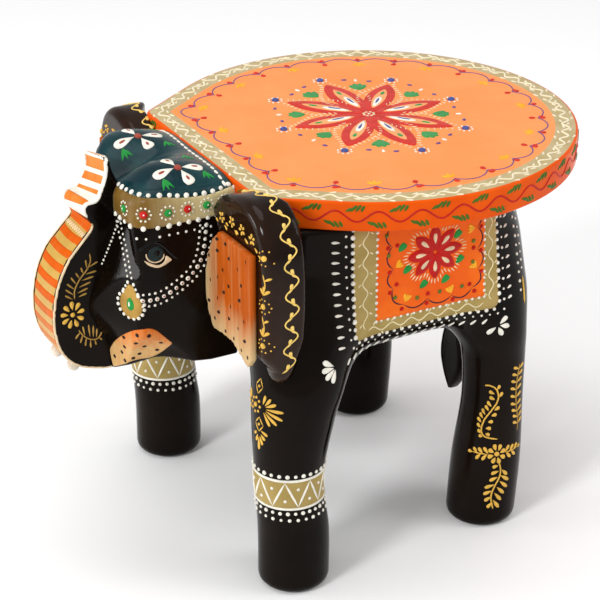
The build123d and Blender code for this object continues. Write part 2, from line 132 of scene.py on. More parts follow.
def carve(name, form, low, high, chip, paint):
    """Cuts a piece from a block between two corners, chip by chip. Its form is negative inside the wood."""
    axes = [np.arange(a, b + chip, chip) for a, b in zip(low, high)]
    depth = form(*np.meshgrid(*axes, indexing="ij"))
    inside = depth < 0
    count = np.zeros([n - 1 for n in depth.shape], int)
    for i, j, k in CORNERS:
        count += inside[i:count.shape[0] + i, j:count.shape[1] + j, k:count.shape[2] + k]

    # one point in each chip that the surface passes through, amid the places where it crosses the edges
    cells = np.argwhere((count > 0) & (count < 8))
    total, hits = np.zeros((len(cells), 3)), np.zeros(len(cells))
    for a, b in EDGES:
        at_a, at_b = depth[tuple((cells + CORNERS[a]).T)], depth[tuple((cells + CORNERS[b]).T)]
        crossed = (at_a < 0) != (at_b < 0)
        share = np.where(crossed, at_a / np.where(crossed, at_a - at_b, 1), 0)
        total += crossed[:, None] * (CORNERS[a] + share[:, None] * (CORNERS[b] - CORNERS[a]))
        hits += crossed
    points = np.array(low) + chip * (cells + total / hits[:, None])

    # three rubs bring the points down to the form, and none goes further than a share of a chip
    feel, rub = 0.05, 0.3
    for _ in range(3):
        here = form(*points.T)
        slope = np.stack([form(*(points + step).T) - here for step in feel * np.eye(3)], axis=1) / feel
        steep = np.maximum((slope**2).sum(1), 0.05)
        move = -(here / steep)[:, None] * slope
        length = np.maximum(np.linalg.norm(move, axis=1), 1e-9)
        points += move * np.minimum(1, rub * chip / length)[:, None]

    # a face across each edge between the inside and the outside, turned to look outward
    number = np.full(count.shape, -1)
    number[tuple(cells.T)] = np.arange(len(cells))
    faces = []
    for axis in range(3):
        u, v = [n for n in range(3) if n != axis]
        lower, upper = [slice(1, -1)] * 3, [slice(1, -1)] * 3
        lower[axis], upper[axis] = slice(0, -1), slice(1, None)
        flip = inside[tuple(lower)] != inside[tuple(upper)]
        spots = np.argwhere(flip) + np.array([0 if n == axis else 1 for n in range(3)])
        outward = inside[tuple(spots.T)] == (axis != 1)
        ring = []
        for du, dv in ((-1, -1), (0, -1), (0, 0), (-1, 0)):
            shift = np.zeros(3, int)
            shift[u], shift[v] = du, dv
            ring.append(number[tuple((spots + shift).T)])
        quads = np.stack(ring, axis=1)
        quads[~outward] = quads[~outward, ::-1]
        faces.append(quads)
    return shaped(name, points, np.vstack(faces).tolist(), paint)


def seat_on_body(piece, slot, *nodes):
    """Hangs a piece on the stool and hides the solids that it stands for; the name of its finish is not
    used.
    """
    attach(piece, "root")
    if nodes:
        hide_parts(*nodes)


def plug(tree, socket, value):
    """Sets a socket of a shader from a plain value or from another node's output."""
    if hasattr(value, "links"):
        tree.links.new(value, socket)
    else:
        socket.default_value = value


def wire(tree, made, **sockets):
    """Sets the named sockets of a shader node."""
    for name, value in sockets.items():
        plug(tree, made.inputs[name.replace("_", " ")], value)
    return made


def reckon(tree, action, *values):
    """One step of arithmetic in a shader."""
    step = tree.nodes.new("ShaderNodeMath")
    step.operation = action
    for socket, value in zip(step.inputs, values):
        plug(tree, socket, value)
    return step.outputs["Value"]


def blended(tree, colour, other, share):
    """A colour that turns into another by a share."""
    mix = tree.nodes.new("ShaderNodeMix")
    mix.data_type = "RGBA"
    return wire(tree, mix, A=colour, B=other, Factor=share).outputs["Result"]


# bristle marks to a metre across the brush's stroke, and how high the ridges between them stand
BRISTLES, RIDGE_HEIGHT = 900.0, 0.0002


def brushed_paint(
    name, colour, shade, gloss, coat=0.0, metal=0.0, patch=18.0, ridge=0.25, stroke=(1, 1, 6), shine=0.25
):
    """Hand-brushed paint: patchy colour, fine brush ridges and uneven gloss."""
    material = bpy.data.materials.new(name)
    material.use_nodes = True
    tree = material.node_tree
    add = tree.nodes.new
    place = add("ShaderNodeTexCoord").outputs["Object"]
    cloud = wire(tree, add("ShaderNodeTexNoise"), Vector=place, Scale=patch, Detail=5.0, Roughness=0.6)
    spread = wire(tree, add("ShaderNodeMapRange"), Value=cloud.outputs["Fac"], From_Min=0.38, From_Max=0.66)
    tone = blended(tree, (*colour, 1), (*shade, 1), spread.outputs["Result"])
    pull = wire(tree, add("ShaderNodeMapping"), Vector=place, Scale=[BRISTLES / n for n in stroke])
    bristle = wire(tree, add("ShaderNodeTexNoise"), Vector=pull.outputs["Vector"], Scale=1.0, Detail=3.0)
    swell = wire(tree, add("ShaderNodeTexNoise"), Vector=place, Scale=60.0, Detail=2.0)
    heave = reckon(tree, "MULTIPLY_ADD", swell.outputs["Fac"], 3.0, bristle.outputs["Fac"])
    bump = wire(tree, add("ShaderNodeBump"), Height=heave, Strength=ridge, Distance=RIDGE_HEIGHT)
    wear = wire(tree, add("ShaderNodeMapRange"), Value=cloud.outputs["Fac"], From_Min=0.3, From_Max=0.7)
    wire(tree, wear, To_Min=gloss * 0.75, To_Max=gloss * 1.3)
    paint = tree.nodes["Principled BSDF"]
    wire(tree, paint, Base_Color=tone, Normal=bump.outputs["Normal"], Roughness=wear.outputs["Result"])
    wire(tree, paint, Metallic=metal, Coat_Weight=coat, Coat_Roughness=0.12, Specular_IOR_Level=shine)
    return material


LACQUER_BLACK, LACQUER_BROWN = (0.0030, 0.0018, 0.0012), (0.0090, 0.0050, 0.0028)
black_lacquer = brushed_paint(
    "black_lacquer", LACQUER_BLACK, LACQUER_BROWN, gloss=0.13, patch=9.0, shine=0.07
)
carved_body = carve(
    "carved_body_and_legs", body_and_legs, (-84, -122, -2.6), (122, 122, 236), 2.4, black_lacquer
)
seat_on_body(
    carved_body, "black_lacquer",
    "body_block", "front_left_leg", "front_right_leg", "rear_left_leg", "rear_right_leg",
)

# ---------------------------------------------------------------- head
# The head is a second block, dowelled to the front of the body. Its crown is carved into two domes with
# a valley between them, its face slopes from the cheeks to the trunk, and a gouge has taken a shallow
# scoop from under each cheek.
FACE_X, CHEEK_Y, CHEEK_CURVE = -133.0, 50.0, 1.1
CHIN = [(-136, 141), (-115, 142.5), (-88, 138.5), (-71, 138.5)]
DOME_Y = 27.0
TRUNK_HALF_WIDTH = 16.5
# along the head from the joint forward: heights of the valley, the domes and the temples
CROWN = [
    (-71, 250, 250, 246), (-87, 253.5, 256.5, 247.5), (-102, 247, 259.5, 248), (-114, 242, 259, 248),
    (-125, 239.5, 253.5, 247), (-133, 238, 246, 243),
]
# up the face beside the trunk: how far the muzzle stands ahead of the face
MUZZLE = [(140, 6), (150, 8), (160, 14), (175, 18.5), (197, 12.5), (212, 7.3), (222, 2.6), (230, 0)]
FOREHEAD_ROUND, RIGHT_FOREHEAD_ROUND, CHEEK_ROUND = 15.0, 48.0, 3.0
CROWN_ROUND, FACET_ROUND, CHIN_ROUND, SCOOP_ROUND = 3.5, 0.8, 2.0, 1.5
BROW_Z, NECK_GAP = (219.0, 238.0), 0.1
# slanted faces are measured short by this share, so that their roundings keep their size
SLANT = 0.85
# a flat chisel cut beside the trunk, below the brow: the way it faces, how far out it lies, and its side
FACET_FACING, FACET_OUT, FACET_TOP = np.array((-0.894, 0.250, 0.372)), 205.4, 228.0
FACET_SIDE, FACET_SIDE_AT = np.array((0.862, 0.508)), np.array((37.0, 226.0))
SCOOP_PLACE, SCOOP_FACING = np.array((-122.0, 43.0, 150.0)), np.array((-0.300, 0.800, -0.520))
SCOOP_RADIUS, SCOOP_DEPTH = 60.0, 1.6
# how far the chin hangs down beside the trunk, and where it rises again along the head and across it
CHIN_DROP, CHIN_DROP_X, CHIN_DROP_Y = 10.5, (-124.0, -112.0), (17.0, 37.0)


def crown_height(x, y):
    """The height of the crown, with a valley along the middle between its two domes."""
    line = flow(CROWN[::-1])
    valley, dome, temple = [np.interp(x, line[:, 0], line[:, n]) for n in (1, 2, 3)]
    inner = np.sqrt((abs(y) / DOME_Y) ** 2 + 0.01)
    inside = valley + (dome - valley) * (1 - np.clip(1 - inner, 0, 1) ** 2)
    outside = dome - (dome - temple) * (np.clip(abs(y) - DOME_Y, 0, None) / (CHEEK_Y - DOME_Y)) ** 2
    return np.where(abs(y) < DOME_Y, inside, outside)


def head_form(x, y, z):
    brow = np.where(y > 0, RIGHT_FOREHEAD_ROUND, FOREHEAD_ROUND)
    y = abs(y)
    reach = np.interp(z, *flow(MUZZLE).T)
    slope = np.clip((CHEEK_Y - y) / (CHEEK_Y - TRUNK_HALF_WIDTH), 0, 1) ** CHEEK_CURVE
    front = (FACE_X - reach * slope - x) * SLANT
    rounding = CHEEK_ROUND + (brow - CHEEK_ROUND) * np.interp(z, BROW_Z, (0, 1))
    form = sanded(front, y - CHEEK_Y, rounding)
    form = sanded(form, (z - crown_height(x, y)) * SLANT, CROWN_ROUND)
    cut = FACET_FACING[0] * x + FACET_FACING[1] * y + FACET_FACING[2] * z - FACET_OUT
    beside = FACET_SIDE[0] * (FACET_SIDE_AT[0] - y) + FACET_SIDE[1] * (FACET_SIDE_AT[1] - z)
    form = sanded(form, np.minimum(np.minimum(cut, beside), FACET_TOP - z), FACET_ROUND)
    drop = CHIN_DROP * np.interp(y, CHIN_DROP_Y, (1, 0)) * np.interp(x, CHIN_DROP_X, (1, 0))
    form = sanded(form, np.interp(x, *np.array(CHIN).T) - drop - z, CHIN_ROUND)
    gouge = SCOOP_PLACE + (SCOOP_RADIUS - SCOOP_DEPTH) * SCOOP_FACING
    scoop = SCOOP_RADIUS - np.sqrt((x - gouge[0]) ** 2 + (y - gouge[1]) ** 2 + (z - gouge[2]) ** 2)
    return np.maximum(sanded(form, scoop, SCOOP_ROUND), x - JOINT_X + NECK_GAP)


carved_head = carve("carved_head", head_form, (-156, -54, 127), (-68, 54, 264), 1.6, black_lacquer)
seat_on_body(carved_head, "black_lacquer", "head_block")

# ---------------------------------------------------------------- trunk and tusks
# The trunk is a plank sawn to the upturned profile and dowelled to the muzzle. Its sawn front is painted
# in bands, its sides are black, and two short tusks are fixed to it near the bottom.
TRUNK_SIDE = [
    (-126, 131), (-140, 131.3), (-149.5, 133), (-159, 136.5), (-166, 142.5), (-170.5, 150), (-173, 160),
    (-173.5, 170), (-172, 182), (-168.5, 194), (-163, 205), (-155, 214.5), (-147, 223.5), (-147.5, 227),
]
TRUNK_TIP = [
    (-147.5, 227), (-150.5, 232.5), (-151.2, 236), (-149, 239.3), (-144.5, 240), (-142, 241.8),
    (-140, 246), (-138, 250.6), (-136.4, 257), (-136.6, 262), (-137.2, 266.5), (-134.5, 265.5),
    (-133.2, 258), (-129.7, 249.5), (-126, 243),
]
# height, and how much lower the right side of the trunk stands there than the left
TRUNK_LEAN = [(190, 0), (224, 3), (240, 3.5), (258, 8)]
TRUNK_TOP, TIP_ROUND, TRUNK_EDGE_ROUND = 266.0, 5.0, 1.3


def outline_distance(outline, u, v):
    """Distance to a closed outline, negative inside."""
    near, crossings = np.full(np.shape(u), 1e9), np.zeros(np.shape(u), int)
    for (u0, v0), (u1, v1) in zip(outline, np.roll(outline, -1, axis=0)):
        run_u, run_v = u1 - u0, v1 - v0
        share = np.clip(((u - u0) * run_u + (v - v0) * run_v) / max(run_u**2 + run_v**2, 1e-9), 0, 1)
        near = np.minimum(near, (u - u0 - share * run_u) ** 2 + (v - v0 - share * run_v) ** 2)
        if v0 != v1:
            crossings += ((v0 > v) != (v1 > v)) & (u < run_u * (v - v0) / (v1 - v0) + u0)
    return np.sqrt(near) * np.where(crossings % 2 == 1, -1, 1)


trunk_outline = np.vstack([flow(TRUNK_SIDE, 4)[:-1], flow(TRUNK_TIP, 4)])


def trunk_form(x, y, z):
    lean = np.interp(z, *np.array(TRUNK_LEAN).T) * (y + TRUNK_HALF_WIDTH) / (2 * TRUNK_HALF_WIDTH)
    sides = sanded(abs(y) - TRUNK_HALF_WIDTH, z + lean - TRUNK_TOP, TIP_ROUND)
    return sanded(outline_distance(trunk_outline, x, z + lean), sides, TRUNK_EDGE_ROUND)


carved_trunk = carve("carved_trunk", trunk_form, (-177, -19, 128), (-124, 19, 269), 1.4, black_lacquer)
seat_on_body(carved_trunk, "black_lacquer", "trunk")

TUSK_RADIUS, TUSK_HALF_LENGTH, TUSK_ROUND = 3.9, 7.4, 3.0
# the way each tusk points, along the head and down
TUSK_LEANS = {"left_tusk": (-0.72, -0.69), "right_tusk": (-0.8, -0.6)}
ivory = brushed_paint("ivory", (0.74, 0.66, 0.55), (0.55, 0.45, 0.35), gloss=0.35, coat=0.3, patch=90.0)
for node, (ahead, up) in TUSK_LEANS.items():
    low, high = [np.array(corner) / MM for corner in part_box(node)]
    middle = (low + high) / 2

    def tusk_form(x, y, z):
        x, y, z = x - middle[0], y - middle[1], z - middle[2]
        along = x * ahead + z * up
        away = np.sqrt(np.maximum(x**2 + y**2 + z**2 - along**2, 1e-6))
        return sanded(away - TUSK_RADIUS, abs(along) - TUSK_HALF_LENGTH, TUSK_ROUND)

    tusk = carve("carved_" + node, tusk_form, low - 2, high + 2, 0.8, ivory)
    seat_on_body(tusk, "cream_paint", node)

# ---------------------------------------------------------------- ears
# Each ear is carved from a thick block and nailed to the shoulder: straight along the cheek, rolled
# over at the top and outside, and hanging to a rounded tip.
EAR_BACK_X, EAR_FRONT_X, EAR_SWELL = -69.0, -88.0, 6.0
EAR_FRONT_ROUND, EAR_BACK_ROUND = 6.0, 3.0
# across and up the ear: where the swell of its back begins, and where it is full
EAR_SWELL_Y, EAR_SWELL_Z = (88.0, 100.0), (154.0, 178.0)
EAR_ROOT_Y, RIGHT_EAR_SHARE, EAR_SHOULDER_Z, RIGHT_EAR_LOWER = 50.0, 0.89, 200.0, 0.88
# height, and how far the front of the hanging tip is cut back there
EAR_TIP_CUT = [(148, 10), (158, 8.5), (166, 2), (170, 0)]
EAR = [
    (50, 168), (50, 238), (58, 247), (70, 252.5), (84, 256.5), (96, 257), (107, 253), (115, 245),
    (120, 232), (122, 214), (122, 198), (120.5, 180), (118, 165), (115.5, 154), (110, 148), (104, 148),
    (99.5, 153), (98, 164),
]


def as_left_ear(y, z):
    """Where a place on either ear falls on the left one; the right ear is a little narrower and lower."""
    lowered = EAR_SHOULDER_Z + (z - EAR_SHOULDER_Z) / RIGHT_EAR_LOWER
    z = np.where((y > 0) & (z > EAR_SHOULDER_Z), lowered, z)
    return np.where(y > 0, EAR_ROOT_Y + (y - EAR_ROOT_Y) / RIGHT_EAR_SHARE, -y), z


def ear_form(x, y, z):
    y, z = as_left_ear(y, z)
    edge = outline_distance(flow(EAR[1:], 4), y, z)
    swell = EAR_SWELL * np.interp(y, EAR_SWELL_Y, (0, 1)) * np.interp(z, EAR_SWELL_Z, (0, 1))
    front = sanded(edge, EAR_FRONT_X + np.interp(z, *np.array(EAR_TIP_CUT).T) - x, EAR_FRONT_ROUND)
    return sanded(front, x - EAR_BACK_X - swell, EAR_BACK_ROUND)


EAR_BROWN, EAR_LIGHT_BROWN = (0.007, 0.0026, 0.0011), (0.024, 0.0095, 0.004)
brown_lacquer = brushed_paint(
    "brown_lacquer", EAR_BROWN, EAR_LIGHT_BROWN, gloss=0.11, patch=14.0, shine=0.14
)
for node, side in (("left_ear", -1), ("right_ear", 1)):
    near, far = sorted((side * 46, side * 126))
    ear = carve("carved_" + node, ear_form, (-92, near, 138), (-62, far, 262), 1.6, brown_lacquer)
    seat_on_body(ear, "brown_lacquer", node)

# ---------------------------------------------------------------- ear linings
# A thin board is fixed to the front of each ear, over the nails. Its face keeps the saw's upright grooves
# and is painted orange, rubbed to cream toward the cheek and the foot.
LINING_FRONT_X, LINING_ROUND = -92.0, 0.8
LINING = [
    (69.4, 230.6), (61, 223), (55.6, 213.8), (51.3, 199.1), (50.6, 186), (53.8, 174.5), (60.1, 165.8),
    (72, 167.5), (85.2, 168), (95.3, 164), (104.1, 160.2), (109.5, 167), (110, 231.5), (90, 231.5),
]


def saw_grooves(y, z):
    """How far the saw's marks stand in and out: a coarse wander with finer lines over it."""
    return 0.35 * np.sin(y * 1.9 + 0.6 * np.sin(y * 0.7)) + 0.2 * np.sin(y * 4.3 + 1.0 + 0.01 * z)


def lining_form(x, y, z):
    y, z = as_left_ear(y, z)
    edge = outline_distance(np.array(LINING), y, z)
    return sanded(edge, np.maximum(LINING_FRONT_X + saw_grooves(y, z) - x, x - EAR_FRONT_X), LINING_ROUND)


def fade_and_shade_paint(name, colour, faded, *fades, gloss=0.42, streak=1.2, shine=0.15):
    """Paint turning in upright streaks from a full colour to a pale one between two places on an axis; on
    the headband the dark end is painted shade.
    """
    shade = tuple(0.85 * c for c in colour)
    material = brushed_paint(name, colour, shade, gloss=gloss, patch=60.0, shine=shine)
    tree = material.node_tree
    add = tree.nodes.new
    paint = tree.nodes["Principled BSDF"]
    place = add("ShaderNodeTexCoord").outputs["Object"]
    apart = wire(tree, add("ShaderNodeSeparateXYZ"), Vector=place)
    upright = wire(tree, add("ShaderNodeMapping"), Vector=place, Scale=(300, 300, 15))
    grain = wire(tree, add("ShaderNodeTexNoise"), Vector=upright.outputs["Vector"], Scale=1.0, Detail=3.0)
    share = 0.0
    for axis, full, pale in fades:
        reach = reckon(tree, "ABSOLUTE", apart.outputs[axis])
        fade = wire(tree, add("ShaderNodeMapRange"), Value=reach, From_Min=full * MM, From_Max=pale * MM)
        share = reckon(tree, "MAXIMUM", fade.outputs["Result"], share)
    streaks = reckon(tree, "MULTIPLY_ADD", grain.outputs["Fac"], streak, -streak / 2)
    share = reckon(tree, "ADD", share, streaks)
    share = reckon(tree, "MINIMUM", reckon(tree, "MAXIMUM", share, 0.0), 1.0)
    full_colour = paint.inputs["Base Color"].links[0].from_socket
    wire(tree, paint, Base_Color=blended(tree, full_colour, (*faded, 1), share))
    return material


LINING_ORANGE, LINING_CREAM = (0.44, 0.080, 0.004), (0.56, 0.39, 0.19)
lining_orange = fade_and_shade_paint(
    "lining_orange", LINING_ORANGE, LINING_CREAM, ("Z", 194, 166), ("Y", 71, 53), shine=0.08
)
for node, side in (("left_ear_lining", -1), ("right_ear_lining", 1)):
    near, far = sorted((side * 47, side * 114))
    lining = carve("carved_" + node, lining_form, (-95, near, 156), (-85, far, 235), 1.2, lining_orange)
    seat_on_body(lining, "lining_orange", node)

# ---------------------------------------------------------------- tail
# The tail is a flat leaf-ended strip, pegged to the rump and hanging close to the hind legs.
TAIL_LINE = [(162, 116), (150, 115.4), (120, 112.5), (80, 110.5), (44, 110)]
TAIL_HALF_WIDTH = [
    (44, 0.5), (52, 6.5), (62, 11.3), (70, 12.5), (80, 11.5), (92, 8.4), (104, 6.5), (162, 6.5),
    (204, 6.5),
]
TAIL_FOOT, TAIL_TOP, TAIL_HALF_THICK = 44.0, 204.0, 4.5
TAIL_EDGE_ROUND, TAIL_TOP_ROUND, TAIL_FOOT_ROUND = 2.5, 3.0, 1.0


def tail_form(x, y, z):
    back = np.where(z > TAIL_LINE[0][0], RUMP_X, np.interp(z, *flow(TAIL_LINE[::-1]).T))
    half = np.interp(z, *flow(TAIL_HALF_WIDTH).T)
    flat = sanded(abs(x - back - TAIL_HALF_THICK) - TAIL_HALF_THICK, (abs(y) - half) * 0.9, TAIL_EDGE_ROUND)
    return sanded(sanded(flat, z - TAIL_TOP, TAIL_TOP_ROUND), TAIL_FOOT - z, TAIL_FOOT_ROUND)


tail = carve("carved_tail", tail_form, (106, -15, 41), (128, 15, 207), 1.5, black_lacquer)
seat_on_body(tail, "black_lacquer", "tail")

# ---------------------------------------------------------------- seat board
# The seat is a round board, squared off at the front to meet the head and nailed to the body. Its top is
# painted orange inside a gold border, and its rim is a deeper orange.
SEAT_X, SEAT_RADIUS = 44.5, 129.0
SHOULDER_ANGLE = radians(55)
SEAT_CORNER, BORDER_WIDTH = 10.0, 14.0
# the edge's roundness above and below, and how far in the underside's first ring of points lies
ROLL, UNDER_INSET = 1.6, 40.0


def seat_edge(inset=0.0):
    """The seat's outline moved in, from its left side round the back and across the straight front."""
    radius, front_x, corner = SEAT_RADIUS - inset, JOINT_X + inset, max(SEAT_CORNER - inset, 3.0)
    turn, sweep = pi / 2 - SHOULDER_ANGLE, pi - SHOULDER_ANGLE
    arc = [(SEAT_X + radius * cos(a), radius * sin(a)) for a in np.linspace(-sweep, sweep, 150)]
    front_y = arc[-1][1] - (arc[-1][0] - front_x) / np.tan(SHOULDER_ANGLE)
    middle_y = front_y - corner * np.tan((pi / 2 - turn) / 2)
    turns = np.linspace(turn, pi / 2, 8)
    bend = [(front_x + corner * (1 - sin(a)), middle_y + corner * cos(a)) for a in turns]
    shares = np.linspace(0, 1, 14)[1:-1]
    shoulder = [tuple(np.array(arc[-1]) * (1 - t) + np.array(bend[0]) * t) for t in shares]
    front = [(front_x, middle_y * (1 - 2 * t)) for t in np.linspace(0, 1, 40)[1:-1]]
    half = shoulder + bend
    return np.array(arc + half + front + [(x, -y) for x, y in half[::-1]])


roll = [(ROLL * (1 - sin(a)), ROLL * (1 - cos(a))) for a in np.linspace(0, pi / 2, 5)]
profile = [(UNDER_INSET, SEAT_UNDERSIDE)] + [(inset, SEAT_UNDERSIDE + drop) for inset, drop in roll]
profile += [(inset, SEAT_TOP - drop) for inset, drop in roll[::-1]]
profile += [(BORDER_WIDTH, SEAT_TOP)]
ring_size = len(seat_edge())
rings = [np.column_stack([seat_edge(inset), np.full(ring_size, height)]) for inset, height in profile]
RIM, BORDER, TOP = range(3)
faces, finishes = [], []
for n in range(len(rings) - 1):
    lower, upper = n * ring_size, (n + 1) * ring_size
    for i in range(ring_size):
        j = (i + 1) % ring_size
        faces.append((lower + i, lower + j, upper + j, upper + i))
        finishes.append(RIM if n < len(rings) - 2 else BORDER)
faces += [tuple(range(ring_size))[::-1], tuple(upper + i for i in range(ring_size))]
finishes += [RIM, TOP]

rim_orange = brushed_paint(
    "rim_orange", (0.78, 0.098, 0.002), (0.68, 0.072, 0.001), gloss=0.3, patch=30.0, shine=0.07
)
border_gold = brushed_paint(
    "border_gold", (0.56, 0.44, 0.23), (0.46, 0.35, 0.15), gloss=0.4, coat=0.1, metal=0.2, patch=80.0
)
seat_orange = brushed_paint(
    "seat_orange", (0.93, 0.30, 0.085), (0.90, 0.26, 0.065),
    gloss=0.4, patch=12.0, stroke=(12, 1, 1), shine=0.15,
)
seat_board = shaped("painted_seat_board", np.vstack(rings), faces, rim_orange, border_gold, seat_orange)
seat_board.data.polygons.foreach_set("material_index", finishes)
seat_on_body(seat_board, "seat_paint", "seat_board", "seat_nail_fillers")

# ---------------------------------------------------------------- painted cap and headband
# The crown carries a painted cap of dark teal with two white flowers. A gold headband runs round the
# brow below it, painted dark brown toward the front as shade, set with green and red buttons of thick
# paint, each with a white dot as a painted highlight, and edged with beads of white.
CAP_LEFT = [
    (-72.3, 0), (-72.3, 45), (-76, 48.6), (-86, 49.2), (-100, 49.2), (-113, 48.4), (-122.5, 44),
    (-130, 35), (-132.8, 21), (-133, 0),
]
CAP_RIGHT = [
    (-72.3, 0), (-72.3, 45), (-76, 48.6), (-84, 49.2), (-93, 48.4), (-108.5, 42.6), (-121, 32.2),
    (-129.5, 18), (-132.2, 8), (-133, 0),
]
CAP_TOP = 252.5
CAP_FLOWERS = [(-99.9, -34.0), (-100.6, 20.0)]
# root, tip and width of each petal, from the heart of the flower
CAP_PETALS = [
    ((-0.8, 2.2), (-3.4, 12.6), 7.6), ((2.6, 0.2), (16.0, 1.4), 7.4),
    ((-2.6, -0.4), (-16.4, -3.0), 6.8), ((1.0, -2.2), (3.6, -11.4), 8.0),
]
CAP_LEAVES = [(-86.8, -17), (-84.5, -40), (-111.5, -43.5), (-84, 38), (-86.6, 9), (-113.2, 10.4)]
BAND_PATH = [(-131, -15, 0), (-130, -25, 0), (-127, -38, 0), (-119, -46, 0), (-112, -50, 0), (-66, -50, 0)]
BAND_PATH_RIGHT = [
    (-131, -8, 0), (-128.5, -18, 0), (-120.5, -32, 0), (-108, -42.6, 0), (-93, -48.3, 0), (-66, -50, 0),
]
# a measure along the headband's left side is this share as long on its right side
BAND_LOW, BAND_END, RIGHT_BAND_SHARE = 231.5, 86.0, 0.94
# along the headband from the trunk to the ear: the height of its upper edge
BAND_HIGH = [
    (0, 247), (13, 248.2), (25, 249), (32, 249.2), (39.5, 248.8), (49, 247), (59, 246), (67, 245.6),
    (78, 246.6), (89, 247.5),
]
BUTTON_PLACES, BUTTON_Z, BUTTON_RING = (17, 29, 41, 53, 65, 76), 239.5, 4.0
ACROSS, ASIDE, LEFTWARD, UPWARD = (1, 0, 0), (0, 1, 0), (0, -1, 0), (0, 0, 1)
# how far off the brush starts: in front of the whole animal, and beside a form that it goes round
FAR_OFF, CLOSE_BY = 300.0, 20.0


def skin(*pieces):
    """The finished surface of some pieces, for a brush to touch."""
    corners, faces = [], []
    for piece in pieces:
        faces += [[len(corners) + n for n in face.vertices] for face in piece.data.polygons]
        corners += [vertex.co / MM for vertex in piece.data.vertices]
    return BVHTree.FromPolygons(corners, faces)


def touch(surface, start, way):
    """Where a brush lands when it comes from a start in one way, or the nearest place if it misses."""
    point, normal, _, _ = surface.ray_cast(Vector(start), Vector(way))
    if point is None:
        point, normal, _, _ = surface.find_nearest(Vector(start) + CLOSE_BY * Vector(way))
    return np.array(point), np.array(normal)


def face_on(surface, across, up):
    """A canvas looked at straight on, measured along two directions."""
    across, up = np.array(across, float), np.array(up, float)
    way = -np.cross(across, up)
    return lambda u, v: touch(surface, across * u + up * v - FAR_OFF * way, way)


def wrapped(surface, path, up, zero=0.0):
    """A canvas that follows a path round a form, measured along the path and up from it."""
    path, up = np.array(path, float), np.array(up, float)
    run = np.r_[0, np.cumsum(np.linalg.norm(np.diff(path, axis=0), axis=1))] - zero
    feel = 0.6

    def place(u, v):
        middle = np.clip(u, run[0] + feel, run[-1] - feel)
        spots = (middle - feel, middle + feel)
        behind, ahead = [np.array([np.interp(spot, run, c) for c in path.T]) for spot in spots]
        way = np.cross(up, ahead - behind)
        way /= np.linalg.norm(way)
        return touch(surface, (behind + ahead) / 2 + up * v - CLOSE_BY * way, way)

    return place


def mirrored(surface, path, up, share=1.0):
    """A wrapped canvas on the other side of the animal, measured the same way."""
    other = wrapped(surface, [(x, -y, z) for x, y, z in path], [-n for n in up])
    return lambda u, v: other(share * u, -v)


def walk(path, spacing, swing=0.0, period=1.0):
    """Evenly spaced places along a path, with the way ahead and the way to the left at each."""
    path = np.array(path, float)
    run = np.r_[0, np.cumsum(np.linalg.norm(np.diff(path, axis=0), axis=1))]
    count = max(int(round(run[-1] / spacing)), 1)
    at = np.linspace(0, run[-1], count + 1)
    here, behind, ahead = [
        np.stack([np.interp(at + step, run, c) for c in path.T], axis=1) for step in (0, -0.5, 0.5)
    ]
    way = (ahead - behind) / np.linalg.norm(ahead - behind, axis=1)[:, None]
    left = np.stack([-way[:, 1], way[:, 0]], axis=1)
    return here + left * (swing * np.sin(2 * pi * at / period))[:, None], way, left


def level(run, height):
    """Places along a canvas, all at one height or each at its own."""
    return np.column_stack([run, 0 * run + height])


def spokes(count, first=0.0):
    """Directions spaced evenly round a full turn."""
    turns = first + 2 * pi * np.arange(count) / count
    return np.column_stack([np.cos(turns), np.sin(turns)])


